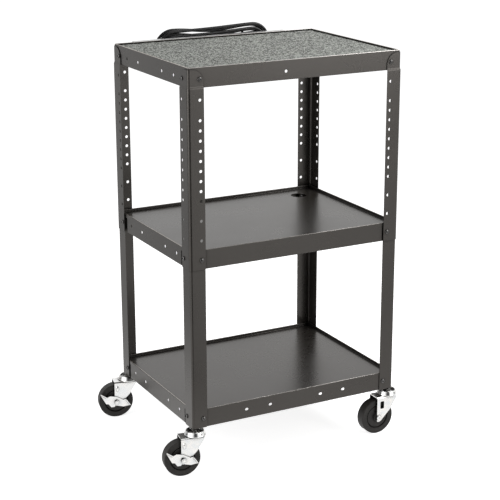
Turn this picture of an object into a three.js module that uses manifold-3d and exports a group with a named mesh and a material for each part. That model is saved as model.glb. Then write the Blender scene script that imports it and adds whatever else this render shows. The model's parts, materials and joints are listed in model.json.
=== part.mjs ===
// Audio visual cart: three folded steel trays on telescoping angle legs, four swivel casters, two of them
// with brakes, a mat on the top tray, and a power cord wound in a hank behind it.
// Millimetres. X runs along the cart, Y from front to back, Z up from the floor.
import * as THREE from "three";
import { mergeVertices } from "three/addons/utils/BufferGeometryUtils.js";
import Module from "manifold-3d";

const wasm = await Module();
wasm.setup();

// Whole cart
const cartHeight = 1066.8;
const shelfLength = 609.6;
const shelfDepth = 457.2;
const bottomShelfTop = 176.4;
const clearance = 0.3;
const overrun = 6;

// Shelves: a tray with a rim, a flange all round and a return at its foot
const flangeHeight = 50.8;
const shelfSheet = 1.2;
const trayDepth = 8;
const rimWidth = 3.2;
const returnWidth = 12;
const sideHolePlaces = [74.1, 143.7];
const slotDiameter = 7;
const slotLength = 10;
const frontSlotPlaces = [77, 148];
const frontHolePlace = -34;
const cordHoleDiameter = 44.5;
const cordHolePlace = [228, 162];
const middleReliefWidth = 12.8;
const middleFrontReliefWidth = 2;
const bottomReliefWidth = 7.5;
const bottomFrontReliefWidth = 0.8;
const matThickness = 3;
const matMargin = 1;

// Legs: steel angle, the upper legs outside the lower ones
const legSheet = 1.6;
const legBend = 7.5;
const legFrontWidth = 44;
const legSideWidth = 46.8;
const legTopDrop = 5.3;
const legTopRadius = 31;
const legFootRadius = 4;
const joggleDrop = 46.2;
const joggleHeight = 6.8;

// Hole rows, counted in pitches below the first hole
const holePitch = 25.4;
const holeDiameter = 7.9;
const holeSteps = [0, 2, 3, 4, 5, 6, 7, 8, 9, 10, 12, 14, 16];
const topBoltSteps = 2;
const topBoltDrop = 29;
const boltDrop = 25.4;
const boltFromFrontCorner = 33.2;
const boltFromSideCorner = 37.1;

// Bolts with button heads and hexagon nuts
const boltDiameter = 6.2;
const boltHeadDiameter = 11.4;
const boltHeadHeight = 3.4;
const boltNutWidth = 11;
const boltNutHeight = 5.4;
const boltEnd = 1.6;
const boltHeadShares = [[0.8, 0.7]];

// Casters
const wheelDiameter = 98;
const wheelWidth = 28;
const wheelHubWidth = 35.2;
const wheelHubDiameter = 24;
const wheelFaceWidth = 22;
const wheelGrooveDiameter = 66;
const wheelGrooveWidth = 2.4;
const wheelTreadWidth = 20;
const wheelShoulder = 2.2;
const casterTrail = 38;
const stemInset = 10.2;
const crownTop = 108;
const forkWidth = 41;
const forkSheet = 2.5;
const forkRear = 43;
const forkFrontFoot = 103;
const forkKneeHeight = 69;
const forkAxleRadius = 12.8;
const forkFront = 21.6;
const windowFront = 21;
const windowRear = 33;
const windowTop = 95;
const windowFoot = 73.5;
const capDiameter = 57;
const capTopDiameter = 47;
const capHeight = 11.6;
const capWall = 1.8;
const capFloorHeight = 5.5;
const collarDiameter = 17.4;
const collarHeight = 9;
const stemDiameter = 11;
const stemEngagement = 34;
const rivetDiameter = 18;
const rivetHeight = 2.6;
const kingpinDiameter = 12;
const axleDiameter = 8;
const axleHeadDiameter = 13;
const axleHeadHeight = 3;
const axleNutHeight = 6;
const socketDiameter = 15.8;
const socketHeight = 36;

// Brake lever: a two-winged pedal about the axle, with a folded lip on each wing
const leverLength = 87;
const leverHeight = 46;
const leverSheet = 1.8;
const leverLip = 7;
const leverLipSheet = 1.6;
const leverOutlineShares = [
  [0.55, 0.62], [0.33, 0.34], [0.22, 0.41], [0, 0.33], [-0.15, 0.17], [-0.21, 0.1], [-0.31, 0.15],
  [-0.45, -0.25], [-0.22, -0.35], [0.05, -0.22], [0.08, -0.32], [0.19, -0.32], [0.27, -0.1], [0.36, -0.06],
];
const leverLipShares = [[[0.53, 0.61], [0.34, 0.35]], [[-0.32, 0.12], [-0.44, -0.22]]];

// Power outlet housing behind the top shelf, with the hooks that the cord hangs on
const housingLength = 472;
const housingDepth = 42;
const housingHeight = 46;
const housingDrop = 4;
const housingWall = 1.6;
const housingRadius = 4;
const outletWidth = 33;
const outletHeight = 27;
const outletDepth = 2;
const outletInset = 21;
const slotPairSpacing = 12.7;
const bladeSlotWidth = 1.8;
const bladeSlotHeight = 7.4;
const groundHoleDiameter = 5;
const groundHoleDrop = 8;
const glandDiameter = 15;
const glandEndDiameter = 11.5;
const glandLength = 21;
const glandPlace = -150;
const bracketSheet = 2;
const bracketHeight = 14;
const hookDiameter = 7;
const hookInset = 20;
const hookReach = 32;
const hookRise = 17;

// Cord: one unbroken length, wound in a hank with its waist drawn in
const cordDiameter = 8.5;
const hankTurns = 5;
const hankLayerPitch = 9.2;
const hankRadius = 24;
const hankStep = 13;
const hankHalfRun = 122;
const hankWaistShare = 0.12;
const hankSag = 7.6;
const hankTilt = 2;
const hankPlace = 18;
const hankCentreDrop = 36;
const hankGap = 8.4;
const hankClimbShare = 0.5;
const plugPlace = 68;
const plugTop = 951;
const plugTilt = 74;
const plugLength = 30;
const plugWidth = 26;
const plugThickness = 20;
const plugNeckLength = 14;
const plugNeckDiameter = 12;
const bladeLength = 17;
const bladeWidth = 6.3;
const bladeSheet = 1.5;
const groundPinDiameter = 4.8;

// How round the round shapes are, in counts of sides or steps
const holeSides = 8;
const boltSides = 8;
const hexSides = 6;
const bendSteps = 2;
const cornerSteps = 5;
const turnedSides = 12;
const wheelSides = 20;
const capSides = 16;
const cordSides = 6;
const leadSides = 8;
const supplySteps = 14;
const plugSteps = 5;
const arcSteps = 8;
const loopSteps = 24;
const measureSteps = 120;

// Places that follow from the sizes
const flangeX = shelfLength / 2;
const flangeY = shelfDepth / 2;
const legStep = legSheet + clearance;
const lowerLegX = flangeX + legStep;
const lowerLegY = flangeY + legStep;
const upperLegX = lowerLegX + legStep;
const upperLegY = lowerLegY + legStep;
const legEdgeX = upperLegX - legFrontWidth;
const legEdgeY = upperLegY - legSideWidth;
const boltX = upperLegX - boltFromFrontCorner;
const boltY = upperLegY - boltFromSideCorner;
const shelfCorner = legBend - legStep - legStep;
const topBoltHeight = cartHeight - topBoltDrop;
const firstHoleHeight = topBoltHeight - topBoltSteps * holePitch;
const middleBoltHeight = firstHoleHeight - Math.max(...holeSteps) * holePitch;
const middleShelfTop = middleBoltHeight + boltDrop;
const bottomBoltHeight = bottomShelfTop - boltDrop;
const bottomShelfFoot = bottomShelfTop - flangeHeight;
const stemX = lowerLegX - stemInset;
const stemY = lowerLegY - stemInset;
const wheelRadius = wheelDiameter / 2;
const plateInside = forkWidth / 2 - forkSheet;
const housingFront = flangeY + clearance;
const housingBack = housingFront + housingDepth;
const housingMiddle = cartHeight - housingDrop - housingHeight / 2;
const housingFoot = housingMiddle - housingHeight / 2;
const outletPlace = housingLength / 2 - outletInset;
const hookPlace = hankHalfRun - hookInset;
const hankHeight = cartHeight - hankCentreDrop;
const hankFirstLayer = housingBack + hankGap + cordDiameter / 2;

// Materials
const charcoal = new THREE.MeshStandardMaterial({ color: 0x4b4844, roughness: 0.55, metalness: 0.2 });
const zinc = new THREE.MeshStandardMaterial({ color: 0xd5d6d3, roughness: 0.3, metalness: 0.9 });
const blackBolt = new THREE.MeshStandardMaterial({ color: 0x262523, roughness: 0.4, metalness: 0.7 });
const matRubber = new THREE.MeshStandardMaterial({ color: 0x8f938c, roughness: 0.9, metalness: 0 });
const tyreRubber = new THREE.MeshStandardMaterial({ color: 0x353132, roughness: 0.7, metalness: 0 });
const housingGrey = new THREE.MeshStandardMaterial({ color: 0xc4c6c4, roughness: 0.5, metalness: 0.1 });
const cordBlack = new THREE.MeshStandardMaterial({ color: 0x161616, roughness: 0.6, metalness: 0 });

// A closed geometry as a solid that can be joined and cut, its faces turned to point out
function solidOf(geometry) {
  const bare = geometry.clone();
  bare.deleteAttribute("normal");
  bare.deleteAttribute("uv");
  const merged = mergeVertices(bare);
  const vertProperties = new Float32Array(merged.attributes.position.array);
  const triVerts = new Uint32Array(merged.index.array);
  const solid = new wasm.Manifold(new wasm.Mesh({ numProp: 3, vertProperties, triVerts }));
  if (solid.volume() > 0) return solid;
  triVerts.reverse();
  return new wasm.Manifold(new wasm.Mesh({ numProp: 3, vertProperties, triVerts }));
}

// A solid as a geometry with flat faces
function geometryOf(solid) {
  const { numProp, vertProperties, triVerts } = solid.getMesh();
  const places = [];
  for (const vertex of triVerts) {
    const start = vertex * numProp;
    places.push(...vertProperties.subarray(start, start + 3));
  }
  const geometry = new THREE.BufferGeometry();
  geometry.setAttribute("position", new THREE.Float32BufferAttribute(places, 3));
  geometry.computeVertexNormals();
  return geometry;
}

function joined(solids) {
  return solids.reduce((sum, solid) => sum.add(solid));
}

function cutBy(solid, tools) {
  return tools.reduce((rest, tool) => rest.subtract(tool), solid);
}

// A block between two opposite corners
function block([x0, y0, z0], [x1, y1, z1]) {
  const geometry = new THREE.BoxGeometry(x1 - x0, y1 - y0, z1 - z0);
  return solidOf(geometry.translate((x0 + x1) / 2, (y0 + y1) / 2, (z0 + z1) / 2));
}

// An outline in X and Y, drawn up from z0 to z1
function prism(outline, z0, z1) {
  const shape = new THREE.Shape(outline.map(([x, y]) => new THREE.Vector2(x, y)));
  const geometry = new THREE.ExtrudeGeometry(shape, { depth: z1 - z0, bevelEnabled: false });
  return solidOf(geometry.translate(0, 0, z0));
}

// An outline in X and Z, drawn along Y from y0 to y1
function upright(outline, y0, y1) {
  return prism(outline, -y1, -y0).rotate([90, 0, 0]);
}

// A profile of [radius, height] points turned about Z
function turned(profile, sides) {
  const geometry = new THREE.LatheGeometry(profile.map(([r, z]) => new THREE.Vector2(r, z)), sides);
  return solidOf(geometry.rotateX(Math.PI / 2));
}

// A round bar between two points
function bar(from, to, diameter, sides, endDiameter = diameter) {
  const start = new THREE.Vector3(...from);
  const axis = new THREE.Vector3(...to).sub(start);
  const geometry = new THREE.CylinderGeometry(endDiameter / 2, diameter / 2, axis.length(), sides);
  geometry.translate(0, axis.length() / 2, 0);
  const turn = new THREE.Quaternion().setFromUnitVectors(new THREE.Vector3(0, 1, 0), axis.normalize());
  return solidOf(geometry.applyQuaternion(turn).translate(...from));
}

function arcPoints([x, y], radius, start, end, steps) {
  return Array.from({ length: steps + 1 }, (_, i) => {
    const angle = THREE.MathUtils.degToRad(start + ((end - start) * i) / steps);
    return [x + radius * Math.cos(angle), y + radius * Math.sin(angle)];
  });
}

// A rectangle about the origin with round corners
function roundedRectangle(halfX, halfY, radius) {
  const x = halfX - radius;
  const y = halfY - radius;
  return [[x, y, 0], [-x, y, 90], [-x, -y, 180], [x, -y, 270]].flatMap(([cx, cy, start]) =>
    arcPoints([cx, cy], radius, start, start + 90, bendSteps));
}

// Holes through a wall that faces X or Y
function holeAlongX(x, y, z, diameter = holeDiameter) {
  return bar([x - overrun, y, z], [x + overrun, y, z], diameter, holeSides);
}

function holeAlongY(x, y, z, diameter = holeDiameter) {
  return bar([x, y - overrun, z], [x, y + overrun, z], diameter, holeSides);
}

const bothSides = [-1, 1];
const corners = [
  { name: "front_left", sideX: -1, sideY: -1, yaw: -9.4, braked: true },
  { name: "front_right", sideX: 1, sideY: -1, yaw: 0, braked: false },
  { name: "back_left", sideX: -1, sideY: 1, yaw: -12.1, braked: true },
  { name: "back_right", sideX: 1, sideY: 1, yaw: -6, braked: false },
];

// Shelves, with their top at height 0
function trayBody() {
  const deck = -trayDepth - shelfSheet;
  const inner = shelfCorner - shelfSheet;
  const shell = prism(roundedRectangle(flangeX, flangeY, shelfCorner), -flangeHeight, 0);
  const tray = prism(roundedRectangle(flangeX - rimWidth, flangeY - rimWidth, inner), -trayDepth, overrun);
  const hollow = prism(
    roundedRectangle(flangeX - shelfSheet, flangeY - shelfSheet, inner), -flangeHeight + shelfSheet, deck);
  const mouthX = flangeX - returnWidth;
  const mouthY = flangeY - returnWidth;
  const mouth = block([-mouthX, -mouthY, -flangeHeight - overrun], [mouthX, mouthY, deck - shelfSheet]);
  return cutBy(shell, [tray, hollow, mouth]);
}

function shelfBoltHoles(z) {
  return corners.flatMap(({ sideX, sideY }) => [
    holeAlongX(sideX * flangeX, sideY * boltY, z),
    holeAlongY(sideX * boltX, sideY * flangeY, z),
  ]);
}

function sideFlangeHoles(z) {
  return bothSides.flatMap((sideX) => bothSides.flatMap((sideY) =>
    sideHolePlaces.map((place) => holeAlongX(sideX * flangeX, sideY * place, z))));
}

// Slots that free the flanges beside the legs, below the tray
function reliefSlots(sideWidth, frontWidth) {
  const top = -trayDepth - shelfSheet - shelfSheet;
  const foot = -flangeHeight - overrun;
  return corners.flatMap(({ sideX, sideY }) => {
    const sideTool = block(
      [flangeX - returnWidth - overrun, legEdgeY - sideWidth, foot],
      [flangeX + overrun, legEdgeY, top]);
    const frontTool = block(
      [legEdgeX - frontWidth, flangeY - returnWidth - overrun, foot],
      [legEdgeX, flangeY + overrun, top]);
    return [sideTool, frontTool].map((tool) => tool.mirror([sideX < 0 ? 1 : 0, 0, 0]))
      .map((tool) => tool.mirror([0, sideY < 0 ? 1 : 0, 0]));
  });
}

// Slotted holes in the long flanges of the bottom shelf
function flangeSlots(z) {
  const radius = slotDiameter / 2;
  const half = slotLength / 2 - radius;
  return bothSides.flatMap((sideX) => bothSides.flatMap((sideY) => frontSlotPlaces.map((place) => {
    const outline = bothSides.flatMap((side) =>
      arcPoints([sideX * place + side * half, z], radius, -side * 90, 180 - side * 90, holeSides / 2));
    const y = sideY * flangeY;
    return upright(outline, y - overrun, y + overrun);
  })));
}

function topShelf() {
  const hole = holeAlongY(frontHolePlace, -flangeY, -topBoltDrop);
  return cutBy(trayBody(), [...shelfBoltHoles(-topBoltDrop), ...sideFlangeHoles(-topBoltDrop), hole]);
}

function middleShelf() {
  const holes = [...shelfBoltHoles(-boltDrop), ...sideFlangeHoles(-boltDrop)];
  const under = -trayDepth - overrun;
  const cordHole = bar([...cordHolePlace, under], [...cordHolePlace, 0], cordHoleDiameter, capSides);
  return cutBy(trayBody(), [...holes, cordHole, ...reliefSlots(middleReliefWidth, middleFrontReliefWidth)]);
}

// The bottom shelf carries a socket for a caster stem in each corner
function bottomShelf() {
  const foot = -flangeHeight;
  const top = foot + socketHeight;
  const boreDiameter = stemDiameter + clearance + clearance;
  const places = corners.map(({ sideX, sideY }) => [sideX * stemX, sideY * stemY]);
  const sockets = places.map(([x, y]) => bar([x, y, foot], [x, y, top], socketDiameter, turnedSides));
  const bores = places.map(([x, y]) =>
    bar([x, y, foot - overrun], [x, y, top + clearance], boreDiameter, turnedSides));
  const holes = [...shelfBoltHoles(-boltDrop), ...sideFlangeHoles(-boltDrop), ...flangeSlots(-boltDrop)];
  const tray = cutBy(trayBody(), [...holes, ...reliefSlots(bottomReliefWidth, bottomFrontReliefWidth)]);
  return cutBy(joined([tray, ...sockets]), bores);
}

function topMat() {
  const inset = rimWidth + matMargin;
  const floor = -trayDepth + clearance;
  const outline = roundedRectangle(flangeX - inset, flangeY - inset, shelfCorner);
  return prism(outline, floor, floor + matThickness);
}

// Section of an angle leg in the corner where X and Y are positive
function angleSection(outerX, outerY, bend) {
  const centre = [outerX - bend, outerY - bend];
  return [
    [legEdgeX, outerY],
    [legEdgeX, outerY - legSheet],
    ...arcPoints(centre, bend - legSheet, 90, 0, bendSteps),
    [outerX - legSheet, legEdgeY],
    [outerX, legEdgeY],
    ...arcPoints(centre, bend, 0, 90, bendSteps),
  ];
}

// A solid through sections of the same count of points, each at its height
function loft(sections) {
  const count = sections[0].outline.length;
  const places = sections.flatMap(({ outline, z }) => outline.flatMap(([x, y]) => [x, y, z]));
  const faces = [];
  for (let level = 0; level + 1 < sections.length; level += 1) {
    for (let i = 0; i < count; i += 1) {
      const a = level * count + i;
      const b = level * count + ((i + 1) % count);
      faces.push(a, b, b + count, a, b + count, a + count);
    }
  }
  const contour = sections[0].outline.map(([x, y]) => new THREE.Vector2(x, y));
  const last = (sections.length - 1) * count;
  for (const [a, b, c] of THREE.ShapeUtils.triangulateShape(contour, [])) {
    faces.push(c, b, a, last + a, last + b, last + c);
  }
  const geometry = new THREE.BufferGeometry();
  geometry.setAttribute("position", new THREE.Float32BufferAttribute(places, 3));
  geometry.setIndex(faces);
  return solidOf(geometry);
}

// What a round corner of a flange takes away: s runs from the flange's edge towards the bend
function cornerOutline(edge, z, radius, up) {
  const outside = z + up * overrun;
  const arc = arcPoints([edge + radius, 0], radius, 90, 180, cornerSteps).map(([s, rise]) =>
    [s, z - up * radius + up * rise]);
  return [[edge - overrun, outside], [edge + radius, outside], ...arc, [edge - overrun, z - up * radius]];
}

function roundedFlangeTools(z, radius, up) {
  const front = upright(cornerOutline(legEdgeX, z, radius, up), lowerLegY - overrun, upperLegY + overrun);
  const side = upright(cornerOutline(legEdgeY, z, radius, up), -upperLegX - overrun, -lowerLegX + overrun);
  return [front, side.rotate([0, 0, 90])];
}

function upperLeg() {
  const top = cartHeight - legTopDrop;
  const foot = middleShelfTop - flangeHeight;
  const close = angleSection(lowerLegX, lowerLegY, legBend - legStep);
  const wide = angleSection(upperLegX, upperLegY, legBend);
  const joggleTop = cartHeight - joggleDrop;
  const blank = loft([
    { outline: wide, z: foot },
    { outline: wide, z: joggleTop - joggleHeight },
    { outline: close, z: joggleTop },
    { outline: close, z: top },
  ]);
  const heights = [topBoltHeight, ...holeSteps.map((step) => firstHoleHeight - step * holePitch)];
  const holes = heights.flatMap((z) => [holeAlongX(lowerLegX, boltY, z), holeAlongY(boltX, lowerLegY, z)]);
  const topTools = roundedFlangeTools(top, legTopRadius, 1);
  const footTools = roundedFlangeTools(foot, legFootRadius, -1);
  return cutBy(blank, [...holes, ...topTools, ...footTools]);
}

function lowerLeg() {
  const outline = angleSection(lowerLegX, lowerLegY, legBend - legStep);
  const blank = loft([{ outline, z: bottomShelfFoot }, { outline, z: middleShelfTop }]);
  const holes = [bottomBoltHeight, middleBoltHeight].flatMap((z) =>
    [holeAlongX(lowerLegX, boltY, z), holeAlongY(boltX, lowerLegY, z)]);
  return cutBy(blank, [...holes, ...roundedFlangeTools(bottomShelfFoot, legFootRadius, -1)]);
}

// A bolt along Z: its head stands on height 0 and its shank goes down through the grip to the nut
function bolt(grip) {
  const radius = boltHeadDiameter / 2;
  const headTop = clearance + boltHeadHeight;
  const domed = boltHeadShares.map(([across, up]) => [radius * across, clearance + boltHeadHeight * up]);
  const head = turned([[0, clearance], [radius, clearance], ...domed, [0, headTop]], boltSides);
  const nutTop = -grip - clearance;
  const nutFoot = nutTop - boltNutHeight;
  const nutDiameter = boltNutWidth / Math.cos(Math.PI / hexSides);
  const shank = bar([0, 0, nutFoot - boltEnd], [0, 0, headTop - boltHeadHeight / 2], boltDiameter, boltSides);
  const nut = bar([0, 0, nutFoot], [0, 0, nutTop], nutDiameter, hexSides);
  return joined([head, shank, nut]);
}

// Casters, with the stem's axis at X and Y 0, the floor at height 0 and the wheel trailing along X
function casterStem() {
  const floor = crownTop + clearance;
  const capRadius = capDiameter / 2;
  const topRadius = capTopDiameter / 2;
  const recess = floor + capFloorHeight;
  const collarTop = floor + capFloorHeight + collarHeight;
  const cap = turned([
    [0, floor], [capRadius, floor], [capRadius, floor + capWall], [topRadius, floor + capHeight],
    [topRadius - capWall, floor + capHeight], [topRadius - capWall, recess], [collarDiameter / 2, recess],
    [collarDiameter / 2, collarTop], [0, collarTop],
  ], capSides);
  const rivetTop = crownTop - forkSheet - clearance;
  const kingpin = bar([0, 0, rivetTop], [0, 0, recess], kingpinDiameter, turnedSides);
  const rivet = bar([0, 0, rivetTop - rivetHeight], [0, 0, rivetTop], rivetDiameter, turnedSides);
  const stemTop = bottomShelfFoot + stemEngagement;
  const stem = bar([0, 0, recess], [0, 0, stemTop], stemDiameter, turnedSides);
  return joined([cap, kingpin, rivet, stem]);
}

// The round end of the fork about the axle, between the tangents from the rear and from the knee
function forkEnd(rear, knee) {
  const radius = forkAxleRadius;
  const angleOf = ([x, z], side) => {
    const dx = x - casterTrail;
    const dz = z - wheelRadius;
    const aside = Math.acos(radius / Math.hypot(dx, dz));
    return THREE.MathUtils.radToDeg(Math.atan2(dz, dx) + side * aside);
  };
  const start = angleOf(knee, 1);
  const end = angleOf(rear, -1);
  return arcPoints([casterTrail, wheelRadius], radius, start, end + 360, arcSteps);
}

function forkPlate(y0, y1) {
  const rear = [forkRear, crownTop];
  const knee = [0, forkKneeHeight];
  const outline = [[-forkFront, crownTop], [-forkFront, forkFrontFoot], knee, ...forkEnd(rear, knee), rear];
  return upright(outline, y0, y1);
}

function fork(braked) {
  const half = forkWidth / 2;
  const crownRadius = capDiameter / 2 - clearance;
  const reach = THREE.MathUtils.radToDeg(Math.asin(half / crownRadius));
  const front = arcPoints([0, 0], crownRadius, 180 - reach, 180 + reach, arcSteps);
  const crown = prism([[forkRear, half], ...front, [forkRear, -half]], crownTop - forkSheet, crownTop);
  const plates = [forkPlate(plateInside, half), forkPlate(-half, -plateInside)];
  const axleBore = bar(
    [casterTrail, -half - overrun, wheelRadius], [casterTrail, half + overrun, wheelRadius],
    axleDiameter + clearance + clearance, turnedSides);
  const pinBore = bar(
    [0, 0, crownTop - forkSheet - overrun], [0, 0, crownTop + overrun],
    kingpinDiameter + clearance + clearance, turnedSides);
  const window = block([windowFront, -half - overrun, windowFoot], [windowRear, half + overrun, windowTop]);
  const tools = braked ? [axleBore, pinBore] : [axleBore, pinBore, window];
  return cutBy(joined([crown, ...plates]), tools);
}

// The wheel about Z, with a flat of its tread turned to the floor
function wheel() {
  const bore = axleDiameter / 2 + clearance;
  const flat = Math.cos(Math.PI / wheelSides);
  const half = wheelWidth / 2;
  const face = wheelFaceWidth / 2;
  const groove = wheelGrooveDiameter / 2;
  const side = [
    [bore, wheelHubWidth / 2], [wheelHubDiameter / 2, wheelHubWidth / 2], [wheelHubDiameter / 2, face],
    [groove - wheelGrooveWidth, face], [groove, half - wheelShoulder], [wheelRadius - wheelShoulder, half],
    [wheelRadius, wheelTreadWidth / 2],
  ].map(([radius, z]) => [radius / flat, z]);
  const other = side.map(([radius, z]) => [radius, -z]).reverse();
  return turned([...side, ...other, side[0]], wheelSides);
}

// The axle about Z: a plain head at the far end and a head or a nut over the brake lever at the near end
function axle(braked) {
  const half = forkWidth / 2 + clearance;
  const near = braked ? half + leverSheet + clearance : half;
  const nearHeight = braked ? axleNutHeight : axleHeadHeight;
  const nearSides = braked ? hexSides : turnedSides;
  const shank = bar([0, 0, -half], [0, 0, near], axleDiameter, turnedSides);
  const head = bar([0, 0, -half - axleHeadHeight], [0, 0, -half], axleHeadDiameter, turnedSides);
  const nut = bar([0, 0, near], [0, 0, near + nearHeight], axleHeadDiameter, nearSides);
  return joined([shank, head, nut]);
}

// The brake lever about Z, X along the wheel's trail and Y up
function brakeLever() {
  const foot = forkWidth / 2 + clearance;
  const top = foot + leverSheet;
  const place = ([along, up]) => [along * leverLength, up * leverHeight];
  const plate = prism(leverOutlineShares.map(place), foot, top);
  const lips = leverLipShares.map(([from, to]) => {
    const [a, b] = [place(from), place(to)].map(([x, y]) => new THREE.Vector2(x, y));
    const edge = b.clone().sub(a);
    const inward = new THREE.Vector2(edge.y, -edge.x).setLength(leverLipSheet);
    if (inward.dot(a.clone().add(b)) > 0) inward.negate();
    const outline = [a, b, b.clone().add(inward), a.clone().add(inward)];
    return prism(outline.map(({ x, y }) => [x, y]), foot, top + leverLip);
  });
  const boreDiameter = axleDiameter + clearance + clearance;
  const bore = bar([0, 0, 0], [0, 0, top + overrun], boreDiameter, turnedSides);
  return cutBy(joined([plate, ...lips]), [bore]);
}

// Power outlet housing: a shell open towards the shelf, with its outlets behind and a gland below
function outletTools(x) {
  const y = housingBack;
  const z = housingMiddle;
  const recess = block(
    [x - outletWidth / 2, y - outletDepth, z - outletHeight / 2],
    [x + outletWidth / 2, y + overrun, z + outletHeight / 2]);
  const blades = bothSides.map((side) => {
    const middle = x + (side * slotPairSpacing) / 2;
    return block(
      [middle - bladeSlotWidth / 2, y - overrun - housingWall, z - bladeSlotHeight / 2],
      [middle + bladeSlotWidth / 2, y, z + bladeSlotHeight / 2]);
  });
  return [recess, ...blades, holeAlongY(x, y - outletDepth, z - groundHoleDrop, groundHoleDiameter)];
}

function outletHousing() {
  const middleY = (housingFront + housingBack) / 2;
  const shell = prism(
    roundedRectangle(housingLength / 2, housingHeight / 2, housingRadius), housingFront, housingBack);
  const wall = housingWall + outletDepth;
  const hollow = block(
    [-housingLength / 2 + housingWall, -housingHeight / 2 + housingWall, housingFront - overrun],
    [housingLength / 2 - housingWall, housingHeight / 2 - housingWall, housingBack - wall]);
  const body = shell.subtract(hollow).rotate([-90, 0, 0]).translate([0, 0, housingMiddle]);
  const gland = bar(
    [glandPlace, middleY, housingFoot + housingWall / 2], [glandPlace, middleY, housingFoot - glandLength],
    glandDiameter, turnedSides, glandEndDiameter);
  return cutBy(joined([body, gland]), bothSides.flatMap((side) => outletTools(side * outletPlace)));
}

// Hooks: a strip on the housing with two arms under the hank's inner loops, each with a turned-up end
function hookHeight(side) {
  const [, , z] = hankPoint(hankTurns / 2 - (side * hookPlace) / loopLength(0));
  return z - cordDiameter / 2 - clearance - hookDiameter / 2;
}

function cordBracket() {
  const y = housingBack + clearance;
  const middle = (hookHeight(-1) + hookHeight(1)) / 2;
  const strip = block(
    [hankPlace - hookPlace - bracketHeight / 2, y, middle - bracketHeight / 2],
    [hankPlace + hookPlace + bracketHeight / 2, y + bracketSheet, middle + bracketHeight / 2]);
  const arms = bothSides.flatMap((side) => {
    const x = hankPlace + side * hookPlace;
    const z = hookHeight(side);
    const root = [x, y + bracketSheet / 2, z];
    const end = [x, y + hookReach, z];
    const tip = [x, y + hookReach, z + hookRise];
    const ball = new THREE.SphereGeometry(hookDiameter / 2, leadSides, leadSides);
    const elbow = solidOf(ball.translate(...end));
    return [bar(root, end, hookDiameter, leadSides), elbow, bar(end, tip, hookDiameter, leadSides)];
  });
  return joined([strip, ...arms]);
}

// Hank: turns are counted from the middle of the lowest run. The loops spiral in, climb to the second layer
// along a run, and spiral out again. The second layer sags in the middle.
function loopLength(ring) {
  return 4 * hankHalfRun + 2 * Math.PI * (hankRadius + hankStep * ring);
}

function hankPoint(turn) {
  const middle = hankTurns / 2;
  const ring = Math.abs(turn - middle);
  const radius = hankRadius + hankStep * ring;
  const travel = (turn - Math.floor(turn)) * loopLength(ring);
  const [x, rise] = loopPlace(travel, radius);
  const draw = Math.abs(x) < hankHalfRun ? (1 + Math.cos((Math.PI * x) / hankHalfRun)) / 2 : 0;
  const climb = THREE.MathUtils.smoothstep(-x, -hankHalfRun, hankHalfRun);
  const layer = ring < hankClimbShare / 2 ? climb : Number(turn > middle);
  const z = rise * (1 - hankWaistShare * draw * (1 - ring / middle)) - hankSag * draw * layer;
  const tilt = (hankTilt * x) / hankHalfRun;
  return [hankPlace + x, hankFirstLayer + layer * hankLayerPitch, hankHeight + z + tilt];
}

// Place on a loop after a travel from the middle of its lower run, counterclockwise as the front sees it
function loopPlace(travel, radius) {
  const bend = Math.PI * radius;
  const run = 2 * hankHalfRun;
  const rightBend = travel - hankHalfRun;
  const upperRun = rightBend - bend;
  const leftBend = upperRun - run;
  const lastRun = leftBend - bend;
  const onBend = (angle, side) =>
    [side * (hankHalfRun + radius * Math.sin(angle)), -side * radius * Math.cos(angle)];
  if (rightBend < 0) return [travel, -radius];
  if (upperRun < 0) return onBend(rightBend / radius, 1);
  if (leftBend < 0) return [hankHalfRun - upperRun, radius];
  if (lastRun < 0) return onBend(leftBend / radius, -1);
  return [lastRun - hankHalfRun, -radius];
}

function hankEnds() {
  const start = hankPoint(0);
  const end = hankPoint(hankTurns);
  start[0] -= cordDiameter;
  end[0] += cordDiameter;
  return { start, end };
}

function hankPoints(stepsPerTurn) {
  const { start, end } = hankEnds();
  const count = hankTurns * stepsPerTurn;
  const turns = Array.from({ length: count + 1 }, (_, i) => hankPoint(i / stepsPerTurn));
  return [start, ...turns, end].map((place) => new THREE.Vector3(...place));
}

// A tube of flat sides through points that lie near one upright plane
function tube(points, diameter, sides) {
  const places = [];
  const faces = [];
  const across = new THREE.Vector3(0, 1, 0);
  points.forEach((point, i) => {
    const before = points[Math.max(i - 1, 0)];
    const after = points[Math.min(i + 1, points.length - 1)];
    const along = after.clone().sub(before).normalize();
    const out = new THREE.Vector3().crossVectors(across, along).normalize();
    const beside = new THREE.Vector3().crossVectors(along, out);
    for (let side = 0; side < sides; side += 1) {
      const angle = (2 * Math.PI * side) / sides;
      const place = point.clone().addScaledVector(out, (Math.cos(angle) * diameter) / 2);
      places.push(...place.addScaledVector(beside, (Math.sin(angle) * diameter) / 2));
    }
  });
  for (let ring = 0; ring + 1 < points.length; ring += 1) {
    for (let side = 0; side < sides; side += 1) {
      const a = ring * sides + side;
      const b = ring * sides + ((side + 1) % sides);
      faces.push(a, b + sides, b, a, a + sides, b + sides);
    }
  }
  const last = (points.length - 1) * sides;
  for (let side = 1; side + 1 < sides; side += 1) {
    faces.push(0, side, side + 1, last, last + side + 1, last + side);
  }
  const geometry = new THREE.BufferGeometry();
  geometry.setAttribute("position", new THREE.Float32BufferAttribute(places, 3));
  geometry.setIndex(faces);
  return geometry;
}

function cordHank() {
  const solid = solidOf(tube(hankPoints(loopSteps), cordDiameter, cordSides));
  printHank();
  return solid;
}

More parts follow.
